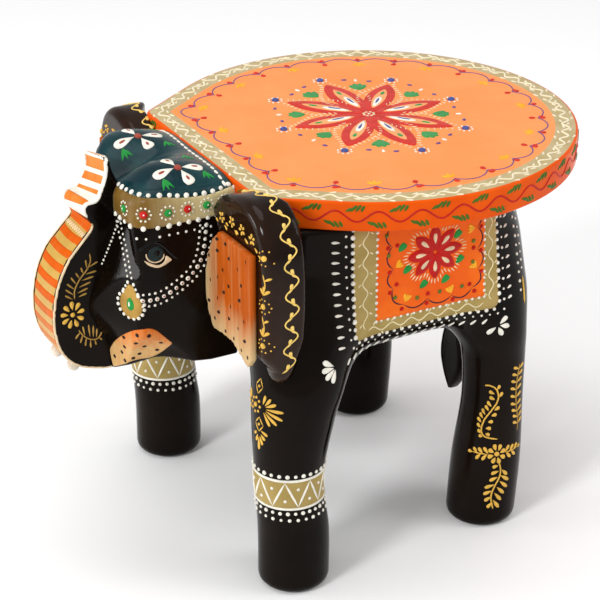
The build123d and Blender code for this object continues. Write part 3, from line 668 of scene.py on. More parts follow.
class PaintCone:
    """Thick paint laid on a canvas with a brush or a paper cone. Each cone dries into one piece.

    A twin is laid on both sides of the animal. Over is the thickness of the film that the paint lies on.
    """

    # across a dot from edge to crest, and across a line from edge to edge: how far out, and what share
    # of its rise the paint stands up there
    DOT_SHAPE = ((1, -0.2), (0.93, 0.45), (0.65, 0.85), (0.05, 1.0))
    LINE_SHAPE = ((-0.5, -0.2), (-0.36, 0.6), (0, 1), (0.36, 0.6), (0.5, -0.2))
    # how deep the edge of a film or petal is tucked under the surface
    TUCK = 0.1

    def __init__(self, name, slot, canvas, *paints, twin=False, over=0.0):
        self.name, self.slot, self.paints, self.twin = name, slot, paints, twin
        self.surface, self.over = canvas, over
        self.points, self.faces, self.finish = [], [], []

    def canvas(self, *place):
        """The point and the outward way where the paint lands, on top of any film below it."""
        point, normal = self.surface(*place)
        return point + normal * self.over, normal

    def lay(self, grid, lifts, paint):
        """Lays rows of canvas places as one skin, each place lifted off the surface."""
        rows = [[self.canvas(*place) for place in row] for row in grid]
        lifted = [[p + n * h for (p, n), h in zip(row, lift)] for row, lift in zip(rows, lifts)]
        self.join(lifted, rows[0][0][1], paint)

    def join(self, rows, outward, paint, closed=False):
        """Joins rows of points with faces that look outward, in the first paint if none is named."""
        first, wide = len(self.points), len(rows[0])
        here, before = rows[len(rows) // 2], rows[len(rows) // 2 - 1]
        a, b, c = here[wide // 2], before[wide // 2], here[wide // 2 - 1]
        flip = np.dot(np.cross(b - a, c - a), outward) > 0
        number = self.paints.index(paint) if paint else 0
        self.points += [point for row in rows for point in row]
        for n in range(len(rows) - 1):
            low, high = first + n * wide, first + (n + 1) * wide
            for i in range(wide if closed else wide - 1):
                j = (i + 1) % wide
                face = [low + i, low + j, high + j, high + i]
                self.faces.append(face[::-1] if flip else face)
                self.finish.append(number)

    def fill(self, side, other, thick=0.25, paint=None, cells=6, domed=False):
        """Fills between two edges of a shape, flat like a film or domed like a bead."""
        side, other = np.array(side, float), np.array(other, float)
        shares = (1 - np.cos(np.linspace(0, pi, cells + 1))) / 2
        if not domed:
            edge = min(0.3 / max(np.linalg.norm(other - side, axis=1).max(), 1e-6), 0.2)
            shares = np.r_[0, np.linspace(edge, 1 - edge, cells), 1]
        inner = shares * (1 - shares)
        lifts = np.tile(thick * (2 * np.sqrt(inner) if domed else inner > 0), (len(side), 1))
        lifts[:, [0, -1]] = lifts[[0, -1]] = -self.TUCK
        self.lay([[a + (b - a) * s for s in shares] for a, b in zip(side, other)], lifts, paint)

    def petal(self, root, tip, width, thick=0.5, paint=None, pointed=1.2, keen=1.0):
        """A drop of paint pulled out to a fine root; a keen one comes to a point at its tip as well."""
        root, tip = np.array(root, float), np.array(tip, float)
        turn = np.linspace(0, pi, 9 if width < 6 else 15)
        along = root + (tip - root) * ((1 - np.cos(turn)) / 2)[:, None]
        swell = np.sin(turn) ** keen * np.sin(turn / 2) ** pointed
        aside = np.array((root[1] - tip[1], tip[0] - root[0])) / np.linalg.norm(tip - root)
        reach = aside * (width / 2 * swell / swell.max())[:, None]
        self.fill(along - reach, along + reach, thick, paint, cells=4, domed=True)

    def leaves(self, places, width, thick, longer=0.0):
        """Leaves from a list of tips and roots, each pulled on past its tip by a share."""
        for tip_u, tip_v, root_u, root_v in places:
            tip = (tip_u + longer * (tip_u - root_u), tip_v + longer * (tip_v - root_v))
            self.petal((root_u, root_v), tip, width, thick)

    def flower(self, centre, count, inner, outer, width, thick, first=0.0, stretch=1.0):
        """Petals round a place, from an inner to an outer reach."""
        for way in spokes(count, first) * (1, stretch):
            self.petal(centre + inner * way, centre + outer * way, width, thick)

    def dot(self, place, size=2.2, paint=None, rise=0.32):
        """A round drop of paint."""
        point, normal = self.canvas(*place)
        side = np.cross(normal, (0.3, 0.5, 0.8))
        side /= np.linalg.norm(side)
        other = np.cross(normal, side)
        rows = []
        for out, lift in self.DOT_SHAPE:
            middle = point + normal * (size * rise * lift)
            rows.append([middle + size / 2 * out * (c * side + s * other) for c, s in spokes(9)])
        self.join(rows, normal, paint, closed=True)

    def ring(self, centre, radius, count, size, paint=None):
        """Dots round a place."""
        for way in spokes(count):
            self.dot(centre + radius * way, size, paint)

    def beads(self, path, spacing, size=2.2):
        """A row of dots, a little uneven, as a hand sets them."""
        for n, place in enumerate(walk(path, spacing)[0]):
            self.dot(place, size * (1 + 0.12 * sin(n * 2.4 + spacing)))

    def line(self, path, width=1.0, paint=None, rise=0.4):
        """A rope of paint along a path, drawn out thin at both ends."""
        path = np.array(path, float)
        spots = [self.canvas(*place) for place in path]
        ways = np.gradient(np.array([point for point, _ in spots]), axis=0)
        taper = np.minimum(1, 0.15 + 0.5 * np.minimum(np.arange(len(path)), np.arange(len(path))[::-1]))
        rows = []
        for (point, normal), way, full in zip(spots, ways, taper):
            side = np.cross(normal, way) / max(np.linalg.norm(np.cross(normal, way)), 1e-9)
            rows.append([
                point + side * (width * full * out) + normal * (width * full * rise * lift)
                for out, lift in self.LINE_SHAPE
            ])
        self.join(rows, spots[len(rows) // 2][1], paint)

    def dry(self):
        """Makes one piece of everything laid so far."""
        points, faces, finish = np.array(self.points), self.faces, self.finish
        if self.twin:
            faces = faces + [[len(points) + n for n in face[::-1]] for face in faces]
            points, finish = np.vstack([points, points * (1, -1, 1)]), finish * 2
        piece = shaped(self.name, points, faces, *self.paints)
        piece.data.polygons.foreach_set("material_index", finish)
        shell = bmesh.new()
        shell.from_mesh(piece.data)
        bmesh.ops.remove_doubles(shell, verts=shell.verts, dist=2e-6)
        shell.to_mesh(piece.data)
        shell.free()
        seat_on_body(piece, self.slot)


def thick_paint(name, colour):
    """Paint laid thick, with darker patches where it dried thin."""
    shade = tuple(0.8 * c for c in colour)
    return brushed_paint(name, colour, shade, gloss=0.32, patch=140.0, ridge=0.15, shine=0.14)


white_paint = thick_paint("white_paint", (0.87, 0.84, 0.74))
red_paint = thick_paint("red_paint", (0.55, 0.010, 0.008))
green_paint = thick_paint("green_paint", (0.015, 0.27, 0.045))
brown_red_paint = thick_paint("brown_red_paint", (0.38, 0.07, 0.045))
gold_paint = brushed_paint(
    "gold_paint", (0.46, 0.27, 0.06), (0.30, 0.17, 0.035), gloss=0.38, metal=0.15, patch=70.0, shine=0.12
)
# The front of the headband, beside the trunk, is painted dark brown as shade, turning to its pale gold
# along the sides.
band_gold_with_painted_shade = fade_and_shade_paint(
    "band_gold_with_painted_shade", (0.17, 0.09, 0.015), (0.62, 0.51, 0.26), ("X", 126, 90), gloss=0.3, streak=0.4
)
teal_paint = brushed_paint(
    "teal_paint", (0.003, 0.022, 0.029), (0.009, 0.047, 0.052),
    gloss=0.2, patch=45.0, ridge=1.0, stroke=(1, 6, 6), shine=0.14,
)

head_skin = skin(carved_head)
crown_canvas = face_on(head_skin, ACROSS, ASIDE)
band_canvas = wrapped(head_skin, BAND_PATH, UPWARD)
other_band = mirrored(head_skin, BAND_PATH_RIGHT, UPWARD, RIGHT_BAND_SHARE)
run = np.linspace(0.5, BAND_END, 60)
band_high = np.interp(run, *np.array(BAND_HIGH).T)
cap = PaintCone("cap_film", "cap_blue", crown_canvas, teal_paint)
cap.fill(flow(CAP_LEFT, 5) * (1, -1), flow(CAP_RIGHT, 5), 0.3, cells=26)
cap_run, cap_low = run[11:], band_high[11:] - 0.5
for cap.surface in (band_canvas, other_band):
    cap.fill(level(cap_run, cap_low), level(cap_run, np.minimum(cap_low + 5.5, CAP_TOP)), 0.3, cells=4)
cap.dry()

flowers = PaintCone("cap_flowers", "raised_white", crown_canvas, white_paint, over=0.25)
hearts = PaintCone(
    "cap_flower_hearts", "raised_colour", crown_canvas, brown_red_paint, green_paint, over=0.25
)
for centre in np.array(CAP_FLOWERS):
    for root, tip, width in CAP_PETALS:
        root, tip = np.array(root), np.array(tip)
        flowers.petal(centre + root, centre + tip, width, 0.5, pointed=1.6)
        hearts.petal(centre + 0.55 * root + 0.45 * tip, centre + 0.8 * tip, 2.3, 0.75, pointed=0.3)
    hearts.dot(centre, 4.8)
for place in np.array(CAP_LEAVES):
    for turn in (-0.5, 0.1, 0.7):
        reach, root = np.array((-sin(turn), cos(turn))), place + (3 * turn, 0)
        hearts.petal(root - 3.2 * reach, root + 3.6 * reach, 2.3, 0.35, green_paint)
for place, way in zip(*walk([(-76.5, -46), (-76.5, 46)], 5.2)[:2]):
    flowers.petal(place - 1.9 * way, place + 1.9 * way, 2.3, 0.6, pointed=0)
flowers.dry()
hearts.dry()

band = PaintCone("headband", "gold_paint", band_canvas, band_gold_with_painted_shade)
beads = PaintCone("headband_beads", "raised_white", band_canvas, white_paint, over=0.3)
buttons = PaintCone(
    "headband_buttons", "raised_colour", band_canvas, green_paint, red_paint, white_paint, over=0.35
)
for band.surface in (band_canvas, other_band):
    band.fill(level(run, BAND_LOW), level(run, band_high), 0.4, cells=12)
    beads.surface = buttons.surface = band.surface
    beads.beads(level(run[2:], band_high[2:] + 0.8), 5.7, 3.1)
    beads.beads([(5, BAND_LOW), (BAND_END - 2, BAND_LOW)], 5.9, 3.2)
    beads.beads([(5, BAND_LOW - 5.6), (78, BAND_LOW - 6)], 5.4, 1.6)
    for s, colour in zip(BUTTON_PLACES, cycle((green_paint, red_paint))):
        buttons.dot((s, BUTTON_Z), 5.0, colour)
        # A small white dot on each button is a painted highlight.
        buttons.dot((s + 0.4, BUTTON_Z + 0.4), 1.6, white_paint, rise=1.15)
        beads.ring((s, BUTTON_Z), BUTTON_RING, 10, 1.4)
band.dry()
buttons.dry()
beads.dry()

# ---------------------------------------------------------------- painted face
# Each side of the face has an eye in cream and black, a gold pendant with a green stone and a painted white
# highlight, hung on two strings of white beads, a triple string from the pendant back to the ear, and an
# orange half-moon under the cheek.
FACING_SLOPE = (0.8828, -0.4697, 0)
EYE_CENTRE, IRIS, PUPIL = np.array((-122.2, 215.4)), 4.9, 4.2
EYE_LOWER = [(-7.3, -3.0), (-5.2, -5.6), (-2.6, -7.4), (1.1, -8.8), (5.0, -8.1), (7.8, -7.0), (9.9, -5.6)]
EYE_UPPER = [(-7.1, -2.6), (-4.1, -4.5), (-0.9, -6.4), (2.3, -7.1), (5.2, -5.5), (6.5, -2.3), (9.9, -5.4)]
EYE_RING = [(-6.0, 1.5), (-5.6, -0.9), (-4.0, -3.3), (-0.8, -5.0), (2.5, -4.8), (4.7, -2.9), (5.0, -0.6)]
EYE_LID = [(-9.5, 3.6), (-8.2, 5.0), (-5.1, 6.6), (0.4, 7.2), (5.6, 3.4), (9.6, -1.6), (14.2, -6.0)]
PENDANT, PENDANT_SIZE = np.array((-99.6, 183.4)), 6.9
PENDANT_BEADS = PENDANT_SIZE + 1.1
# the two strings that the pendant hangs on, each of two rows of beads
HANGER = np.array([(-106.4, 230), (-105, 222), (-102.2, 214), (-100, 205), (-98.8, 200)])
SIDE_HANGER = np.array([(-107.4, 225), (-111, 215), (-114.8, 206), (-117.4, 200)])
CHEEK_CHAIN = [
    (-131, 187.5), (-122, 187), (-115, 189), (-108, 192.5), (-101, 197), (-95.5, 203), (-92.5, 210),
    (-91, 218), (-90, 227),
]
MOON_TOP = [
    (-113.4, 132.6), (-115.0, 141), (-114.3, 146), (-109.4, 156.4), (-102.7, 164.2), (-94.7, 169.2),
    (-86.5, 167.8), (-76.8, 156),
]
MOON_LOW = [
    (-113.4, 132.6), (-111, 134.2), (-107, 137.8), (-102.5, 141.6), (-96.5, 142.6), (-90, 143.2),
    (-83.5, 147.6), (-76.8, 156),
]
FRECKLES = [
    (-104.9, 160), (-96.5, 165), (-89.8, 164.6), (-97.7, 158.5), (-104.9, 152.5), (-106.9, 147),
    (-112, 140.5), (-93.2, 154.3), (-83.5, 157), (-96.6, 147.7), (-86.2, 149.8), (-105.3, 142),
    (-100.4, 144.5),
]

cream_paint = thick_paint("cream_paint", (0.80, 0.62, 0.40))
iris_paint = brushed_paint(
    "iris_paint", (0.011, 0.021, 0.021), (0.016, 0.028, 0.027), gloss=0.25, patch=300.0, shine=0.1
)
pupil_paint = brushed_paint(
    "pupil_paint", (0.002, 0.002, 0.002), (0.003, 0.003, 0.003), gloss=0.1, patch=200.0, shine=0.15
)
moon_paint = fade_and_shade_paint(
    "moon_paint", (0.66, 0.145, 0.015), (0.66, 0.40, 0.16), ("Z", 170, 149), shine=0.08
)
dark_paint = thick_paint("dark_paint", (0.02, 0.008, 0.005))

cheek_canvas = face_on(head_skin, ACROSS, UPWARD)
slope_canvas = face_on(head_skin, FACING_SLOPE, UPWARD)
eye = PaintCone("eyes", "cream_paint", cheek_canvas, cream_paint, twin=True)
eye.fill(EYE_CENTRE + flow(EYE_LOWER), EYE_CENTRE + flow(EYE_UPPER), 0.35, cells=4)
eye.line(EYE_CENTRE + flow(EYE_RING), 0.9)
eye.dry()
iris = PaintCone("irises", "black_lacquer", cheek_canvas, iris_paint, pupil_paint, twin=True)
turn = np.linspace(0, pi, 14)
arch = IRIS * np.column_stack([-np.cos(turn), np.sin(turn)])
iris.fill(EYE_CENTRE + arch, EYE_CENTRE + arch * (1, -1), 0.6, cells=8, domed=True)
iris.line(EYE_CENTRE + flow(EYE_LID), 1.9, pupil_paint, rise=0.3)
iris.dry()
pupil = PaintCone("pupils", "black_lacquer", cheek_canvas, pupil_paint, twin=True, over=0.35)
pupil.dot(EYE_CENTRE + (0.5, 0.6), PUPIL, rise=0.1)
pupil.dry()

chain = PaintCone("bead_chains", "raised_white", slope_canvas, white_paint, twin=True)
for aside in (0, -2.6):
    chain.beads(HANGER + (aside, 0), 2.5, 1.6)
    chain.beads(SIDE_HANGER + (aside, 0), 2.5, 1.5)
for a in np.linspace(radians(55), radians(-235), 14):
    chain.dot(PENDANT + PENDANT_BEADS * np.array((cos(a), 1.05 * sin(a))), 2.3)
chain.beads([(-95.2, 191.6), (-97.6, 196.8)], 3.0, 2.0)
chain.beads([(-103.9, 191.6), (-101.2, 196.8)], 3.0, 2.0)
chain.dry()
pendant = PaintCone("pendants", "gold_paint", slope_canvas, gold_paint, twin=True)
turn = np.linspace(0, pi, 17)
stretch = 1 + 0.55 * np.exp(-(turn / 0.45) ** 2)
half = np.column_stack([PENDANT_SIZE * np.sin(turn), 1.25 * PENDANT_SIZE * stretch * np.cos(turn)])
half[:, 1] = np.minimum(half[:, 1], 12.5)
pendant.fill(PENDANT + half * (-1, 1), PENDANT + half, 0.6, cells=8, domed=True)
pendant.dry()
jewel = PaintCone("pendant_stones", "raised_colour", slope_canvas, green_paint, white_paint, twin=True)
jewel.petal(PENDANT + (0, 4.6), PENDANT + (0, -3.2), 5.4, 1.3, pointed=0.2)
# A short white streak on each green stone is a painted highlight.
jewel.petal(PENDANT + (-0.4, 2.4), PENDANT + (-0.4, -0.8), 1.6, 1.7, white_paint, pointed=0.2)
jewel.dry()

middle = flow(CHEEK_CHAIN)
cheek_beads = PaintCone("cheek_chains", "raised_white", cheek_canvas, white_paint, twin=True)
cheek_beads.beads(middle, 4.4, 2.7)
spots, _, left = walk(middle, 3.4)
cheek_beads.beads(spots + 3.9 * left, 3.8, 1.7)
cheek_beads.beads((spots - 3.7 * left)[:18], 3.8, 1.6)
cheek_beads.dry()
pips = PaintCone("cheek_chain_hearts", "raised_colour", cheek_canvas, brown_red_paint, twin=True, over=0.7)
for place in walk(middle, 4.4)[0][:13]:
    pips.dot(place + (-0.2, 0.1), 1.1)
pips.dry()

moon = PaintCone("half_moons", "lining_orange", slope_canvas, moon_paint, twin=True)
moon.fill(flow(MOON_TOP, 6), flow(MOON_LOW, 6), 0.25, cells=14)
moon.dry()
freckles = PaintCone("half_moon_freckles", "black_lacquer", slope_canvas, dark_paint, twin=True, over=0.2)
for place in FRECKLES:
    freckles.dot(place, 2.7, rise=0.15)
freckles.dry()

# ---------------------------------------------------------------- painted trunk
# The sawn front of the trunk is gold with orange bands and a cream line along each edge, and its tip is
# white with orange bands. Each black side carries a sprig, a nine-petalled flower and a fern in gold.
BAND_STEP, BAND_WIDTH, FIRST_BAND, BAND_COUNT, BAND_SAG, BAND_TILT = 9.6, 5.2, 37.0, 10, 1.3, 0.8
FILM_REACH, BAND_REACH, EDGE_LINE = 16.4, 16.2, 16.0
TIP_REACH, TIP_EDGE_LINE, TIP_BAND_REACH = 15.8, 15.7, 15.2
# along the tip: the middle of each band, and its width
TIP_BANDS = [(11.4, 5.6), (21.2, 3.0), (28.8, 5.4), (40.4, 12.8)]
TIP_TOP = [(-136.3, 264.8), (-135.2, 265.9), (-133.8, 266)]
TIP_TILT = -0.2
SPRIG = [(-160, 181), (-159.5, 187), (-156, 193), (-151.5, 198), (-149, 203), (-149.2, 208)]
# each leaf has four measures: along the head and up to its tip, and the same to its root
SPRIG_LEAVES = [
    (-165, 184, -161, 181), (-164.4, 187.5, -160, 183.5), (-163.4, 191, -159.5, 187),
    (-161, 194.5, -158.3, 190), (-158, 196.8, -156, 193), (-154.8, 199.5, -153.5, 195.5),
    (-151.8, 203.5, -151.3, 198.5), (-153, 183, -157.5, 182), (-152.4, 186, -158, 184.5),
    (-150.6, 189.5, -157, 188), (-148.6, 192.8, -155, 192), (-146.6, 196, -152.5, 195.5),
    (-145.3, 201.5, -150.3, 199.5),
]
TRUNK_FLOWER = np.array((-161.7, 171.2))
FERN = [(-158.5, 160.5), (-156, 156.5), (-152, 153), (-147.5, 152), (-144.6, 154.5), (-144, 158.5)]
FERN_LEAVES = [
    (-160.2, 155.8, -157.5, 159), (-157.5, 152.6, -156, 157), (-154.6, 150, -153.8, 154.8),
    (-151.4, 148, -151.4, 152.6), (-148, 148.8, -148.6, 152), (-144.4, 151, -146, 153),
    (-155.6, 161.3, -154.8, 156), (-152, 161.2, -151.6, 154.4), (-149.2, 160, -149.6, 153.6),
    (-147, 157.8, -147.6, 153.2),
]

trunk_skin = skin(carved_trunk)
front_path = [(x, 0, z) for x, z in flow(TRUNK_SIDE, 4) if z < 227.5]
tip_path = np.array([(x, 0, z) for x, z in np.vstack([flow(TRUNK_TIP, 4)[1:37], TIP_TOP])])
tip_path[:, 2] -= np.interp(tip_path[:, 2], *np.array(TRUNK_LEAN).T) / 2
trunk_front = wrapped(trunk_skin, front_path, ASIDE)
trunk_tip = wrapped(trunk_skin, tip_path, (0, 1, TIP_TILT))
front_length = np.linalg.norm(np.diff(front_path, axis=0), axis=1).sum()
tip_length = np.linalg.norm(np.diff(tip_path, axis=0), axis=1).sum()
khaki_paint = brushed_paint(
    "khaki_paint", (0.40, 0.29, 0.10), (0.33, 0.235, 0.07), gloss=0.42, patch=60.0, shine=0.1
)
trunk_gold = fade_and_shade_paint(
    "trunk_gold", (0.53, 0.32, 0.07), (0.62, 0.41, 0.20), ("Z", 196, 138),
    gloss=0.55, streak=0.5, shine=0.04,
)
orange_paint = fade_and_shade_paint(
    "orange_paint", (0.62, 0.096, 0.003), (0.60, 0.27, 0.12), ("Z", 186, 138),
    gloss=0.55, streak=0.5, shine=0.03,
)
light_orange = brushed_paint(
    "light_orange", (0.66, 0.16, 0.014), (0.62, 0.24, 0.05), gloss=0.5, patch=60.0, shine=0.05
)


def crosswise(start, end, reach, tilt=0.0, sag=0.0):
    """The two ends of a band across the trunk; tilt sets the far end back, and sag the middle."""
    rows = np.linspace(-reach, reach, 12)
    back = tilt * (rows / reach + 1) / 2 + sag * (1 - (rows / reach) ** 2)
    return np.column_stack([start - back, rows]), np.column_stack([end - back, rows])


ground = PaintCone("trunk_front_film", "gold_paint", trunk_front, trunk_gold)
run = np.linspace(0.7, front_length - 0.7, 70)
ground.fill(level(run, -FILM_REACH), level(run, FILM_REACH), 0.25, cells=9)
ground.dry()
bands = PaintCone("trunk_bands", "lining_orange", trunk_front, orange_paint)
for n in range(BAND_COUNT):
    start = FIRST_BAND + n * BAND_STEP - BAND_WIDTH / 2
    bands.fill(*crosswise(start, start + BAND_WIDTH, BAND_REACH, BAND_TILT, BAND_SAG), 0.45, cells=4)
bands.fill(*crosswise(front_length - 7.6, front_length - 0.8, BAND_REACH), 0.45, cells=5)
bands.dry()
edges = PaintCone("trunk_edge_lines", "cream_paint", trunk_front, cream_paint, over=0.3)
for side in (-1, 1):
    edges.line(level(run, side * EDGE_LINE), 1.5)
stitch = np.linspace(-14.5, 14.5, 60)
edges.line(np.column_stack([front_length - 10.2 + 1.5 * np.sin(stitch * 2.1), stitch]), 0.8)
edges.dry()
ground = PaintCone("trunk_tip_film", "raised_white", trunk_tip, white_paint)
run = np.linspace(0.7, tip_length - 0.7, 60)
ground.fill(level(run, -TIP_REACH), level(run, TIP_REACH), 0.3, cells=12)
for side in (-1, 1):
    ground.line(level(run, side * TIP_EDGE_LINE), 2.0, rise=0.3)
ground.dry()
bands = PaintCone("trunk_tip_bands", "lining_orange", trunk_tip, light_orange)
for centre, width in TIP_BANDS:
    band_ends = crosswise(centre - width / 2, centre + width / 2, TIP_BAND_REACH, BAND_TILT)
    bands.fill(*band_ends, 0.5, cells=8)
bands.dry()

trunk_side = face_on(trunk_skin, ACROSS, UPWARD)
sprigs = PaintCone("trunk_sprigs", "gold_paint", trunk_side, gold_paint, twin=True)
sprigs.line(flow(SPRIG), 0.9)
sprigs.line(flow(FERN), 0.9)
sprigs.leaves(SPRIG_LEAVES + FERN_LEAVES, 1.3, 0.45, longer=0.2)
sprigs.dry()
gold_yellow = thick_paint("gold_yellow", (0.78, 0.46, 0.075))
blossom = PaintCone("trunk_flowers", "raised_yellow", trunk_side, gold_yellow, twin=True)
blossom.dot(TRUNK_FLOWER, 3.0)
blossom.flower(TRUNK_FLOWER, 9, 2.8, 7.6, 2.9, 0.55, first=0.2, stretch=1.15)
blossom.dry()

# ---------------------------------------------------------------- painted ears
# A yellow vine runs round the rolled edge of each ear, with a curl in every bend. Suns and tulips in gold
# stand in the strip between the edge and the lining, small blossoms above the lining, and the lining is
# speckled with black.
VINE_STEP, VINE_SWING, VINE_X, RIGHT_VINE_SHARE = 17.5, 4.2, -72.3, 0.93
EAR_SUNS = [(116.9, 232.4), (117.2, 203.5), (116.0, 178.4)]
EAR_TULIPS = [(117.8, 217), (116.9, 191)]
EAR_BLOSSOMS = [(66.7, 238), (79.5, 240), (92.1, 240), (104.3, 239)]
SPECKLES = [
    (64, 226), (79, 227), (57, 211), (69, 219), (83, 219.5), (94, 217.5), (104, 226), (98, 209),
    (75, 209.5), (68, 202), (82, 202), (96, 199), (58, 196), (76, 195.5), (84, 190), (67, 188),
    (101, 188), (56, 182), (69, 180), (82, 181.5), (93, 180), (102, 176), (63, 173.5), (77, 171),
    (88, 171.5), (97, 168), (105, 167),
]

ears = [bpy.data.objects["carved_" + node] for node in ("left_ear", "right_ear")]
ear_skin = skin(*ears)
yellow_paint = thick_paint("yellow_paint", (0.90, 0.62, 0.16))
ear_edge = np.array([(0, -y, z) for y, z in flow(EAR[2:14])])
left_band = wrapped(ear_skin, ear_edge, ACROSS)


def on_right_ear(y, z):
    """Where a place on the left ear falls on the right one, which is a little narrower and lower."""
    lowered = EAR_SHOULDER_Z + (z - EAR_SHOULDER_Z) * RIGHT_EAR_LOWER
    return EAR_ROOT_Y + (y - EAR_ROOT_Y) * RIGHT_EAR_SHARE, min(z, lowered)


right_edge = [on_right_ear(-y, z) for _, y, z in ear_edge]
right_band = mirrored(ear_skin, [(0, -y, z) for y, z in right_edge], ACROSS, RIGHT_VINE_SHARE)
edge_length = np.linalg.norm(np.diff(ear_edge, axis=0), axis=1).sum()
vine = PaintCone("ear_vines", "raised_yellow", left_band, yellow_paint)
run = np.linspace(0, edge_length - 4, 150)
bends = np.arange(VINE_STEP / 4, edge_length - 6, VINE_STEP / 2)
for vine.surface in (left_band, right_band):
    vine.line(level(run, VINE_X + VINE_SWING * np.sin(2 * pi * run / VINE_STEP)), 1.0)
    for s, side in zip(bends, cycle((-1, 1))):
        tip = np.array((s + 1.5, VINE_X - side * 0.2))
        curl = [tip + (5.6, side * 3.6), tip + (3.6, side * 0.6), tip + (0.4, -side * 0.2)]
        vine.line(flow(curl, 4), 0.9)
        vine.petal(tip + (3.2, side * 1.6), tip, 2.4, 0.6)
vine.dry()

left_face = face_on(ear_skin, LEFTWARD, UPWARD)


def right_face(u, v):
    """A canvas on the front of the right ear, measured as on the left one."""
    u, v = on_right_ear(u, v)
    return left_face(-u, v)


face_paint = PaintCone("ear_flowers", "raised_yellow", left_face, gold_yellow)
for face_paint.surface in (left_face, right_face):
    for place in EAR_SUNS:
        face_paint.dot(place, 3.6)
        face_paint.ring(place, 4.2, 10, 1.1)
    for y, z in EAR_TULIPS:
        face_paint.line(flow([(y - 1.0, z + 6), (y + 0.6, z), (y - 0.2, z - 6)]), 0.9)
        for aside, lift in ((-3.2, -1.5), (0, 0.6), (3.2, -1.5)):
            face_paint.petal((y - 0.2, z - 6.5), (y - 0.2 + aside, z - 1.6 + lift), 1.9, 0.5)
        face_paint.petal((y, z + 2), (y + 3.2, z + 4.4), 1.5, 0.4)
    for n, (y, z) in enumerate(EAR_BLOSSOMS):
        face_paint.flower((y, z), 5, 0.8, 3.4, 1.9, 0.45, first=n)
        face_paint.petal((y - 4.5, z - 4.5), (y - 7.5, z - 3.5), 1.8, 0.4)
        face_paint.petal((y + 3.5, z - 3.5), (y + 6.5, z - 5.5), 1.8, 0.4)
face_paint.dry()

linings = [bpy.data.objects["carved_" + node] for node in ("left_ear_lining", "right_ear_lining")]
lining_face = face_on(skin(*linings), LEFTWARD, UPWARD)
speckles = PaintCone("lining_speckles", "black_lacquer", lining_face, dark_paint)
for y, z in SPECKLES:
    speckles.dot((y, z), 2.4, rise=0.12)
    y, z = on_right_ear(y, z)
    speckles.dot((-y, z), 2.4, rise=0.12)
speckles.dry()

# ---------------------------------------------------------------- painted legs
# Each front leg wears a gold anklet with a white zigzag and beads, with yellow flowers climbing above it.
# The hind legs carry a fern, a flower and a hanging branch in gold.
ANKLET_LOW, ANKLET_HIGH, ANKLET_ZIGZAG, SEAM_LAP = 61.5, 81.0, 17.0, 1.8
LEG_REACH = 24.0
FRONT_LEG_X, REAR_LEG_X = -55.6, 88.0
FRONT_LEAVES = [
    (-30.5, 135, -31.5, 129), (-26, 134, -30, 128.5), (-22, 131.5, -29.5, 128), (-17, 127.5, -29, 127),
    (-17.5, 122.5, -29, 126), (-21, 118.8, -29.5, 125), (-25.5, 117, -30.5, 124.5), (-27, 110, -32, 112),
    (-29, 106.4, -32, 109.5), (-31, 102.6, -33, 108), (-34.2, 98.4, -34, 107), (-36.6, 103.6, -35, 108.5),
    (-38.6, 107.6, -36, 110), (-48, 133, -45, 128), (-51, 129, -46, 127), (-51, 124, -46, 125.5),
    (-47.5, 120.5, -45, 124.5),
]
FRONT_SUN, DIAMONDS = (-38.5, 126.5), [(-34, 115.5), (-37.5, 138.5)]
VINE_STEM = [
    (-17, 100.4), (-13, 100.8), (-8, 99), (-5.2, 94.5), (-6, 89), (-11, 82.5), (-16, 76.5), (-18, 70),
    (-15.5, 65.5), (-5, 63.6),
]
BRANCH_STEM = [(-4.6, 49.5), (-2.6, 43), (-3.2, 37), (-6.8, 30), (-8.8, 23), (-7, 14)]
SIDE_STEM = [(12.5, 113), (10.8, 104), (10.5, 94), (11.5, 83), (13.5, 74), (13, 65)]
REAR_FLOWER = np.array((-5.5, 53.5))
REAR_LEAVES = [
    (-12.6, 96.4, -8.4, 95), (-12, 92.4, -7.8, 91), (-13.8, 89, -10.6, 86), (-15.4, 86, -12.6, 83),
    (-18.2, 83.4, -15.4, 80), (-20, 80.4, -17.2, 77.5), (-21.6, 77, -18.4, 74.5), (-21.6, 73, -18.8, 71),
    (-20.8, 69, -18, 67.5), (-19.4, 65.6, -16.8, 65), (-2, 95.4, -4.8, 92.5), (-4.4, 100.6, -6.8, 98),
    (-4.4, 85.4, -8, 83.5), (-6.6, 80.6, -10.4, 79.6), (-9.4, 75.8, -13, 75.2), (-10.8, 71, -14.6, 71),
    (-11.6, 66.6, -14.6, 67.4), (2.2, 38, -1.6, 42), (3.4, 33.8, -2.4, 38), (2.4, 29, -3, 34),
    (0, 25, -5, 30), (-2, 20.6, -6.6, 26), (-3.4, 15.4, -7.4, 21), (-8, 44.4, -4.4, 45.4),
    (-8.6, 40, -3.8, 41.4), (-9.6, 35.2, -4.6, 37.2), (-12.6, 30.2, -6.8, 32), (-13.4, 25.6, -8.4, 27.6),
    (-12.6, 20.8, -8.6, 23.4), (-10.8, 15.8, -8, 19),
]


def round_leg(x, y):
    """A canvas wrapped round a leg, measured from its outer side toward the back."""
    turns = np.linspace(-pi * 1.5 - 0.1, pi * 0.5 + 0.1, 77)
    path = [(x + LEG_REACH * cos(a), y + LEG_REACH * sin(a), 0) for a in turns]
    return wrapped(body_skin, path, UPWARD, zero=(pi + 0.1) * LEG_REACH)


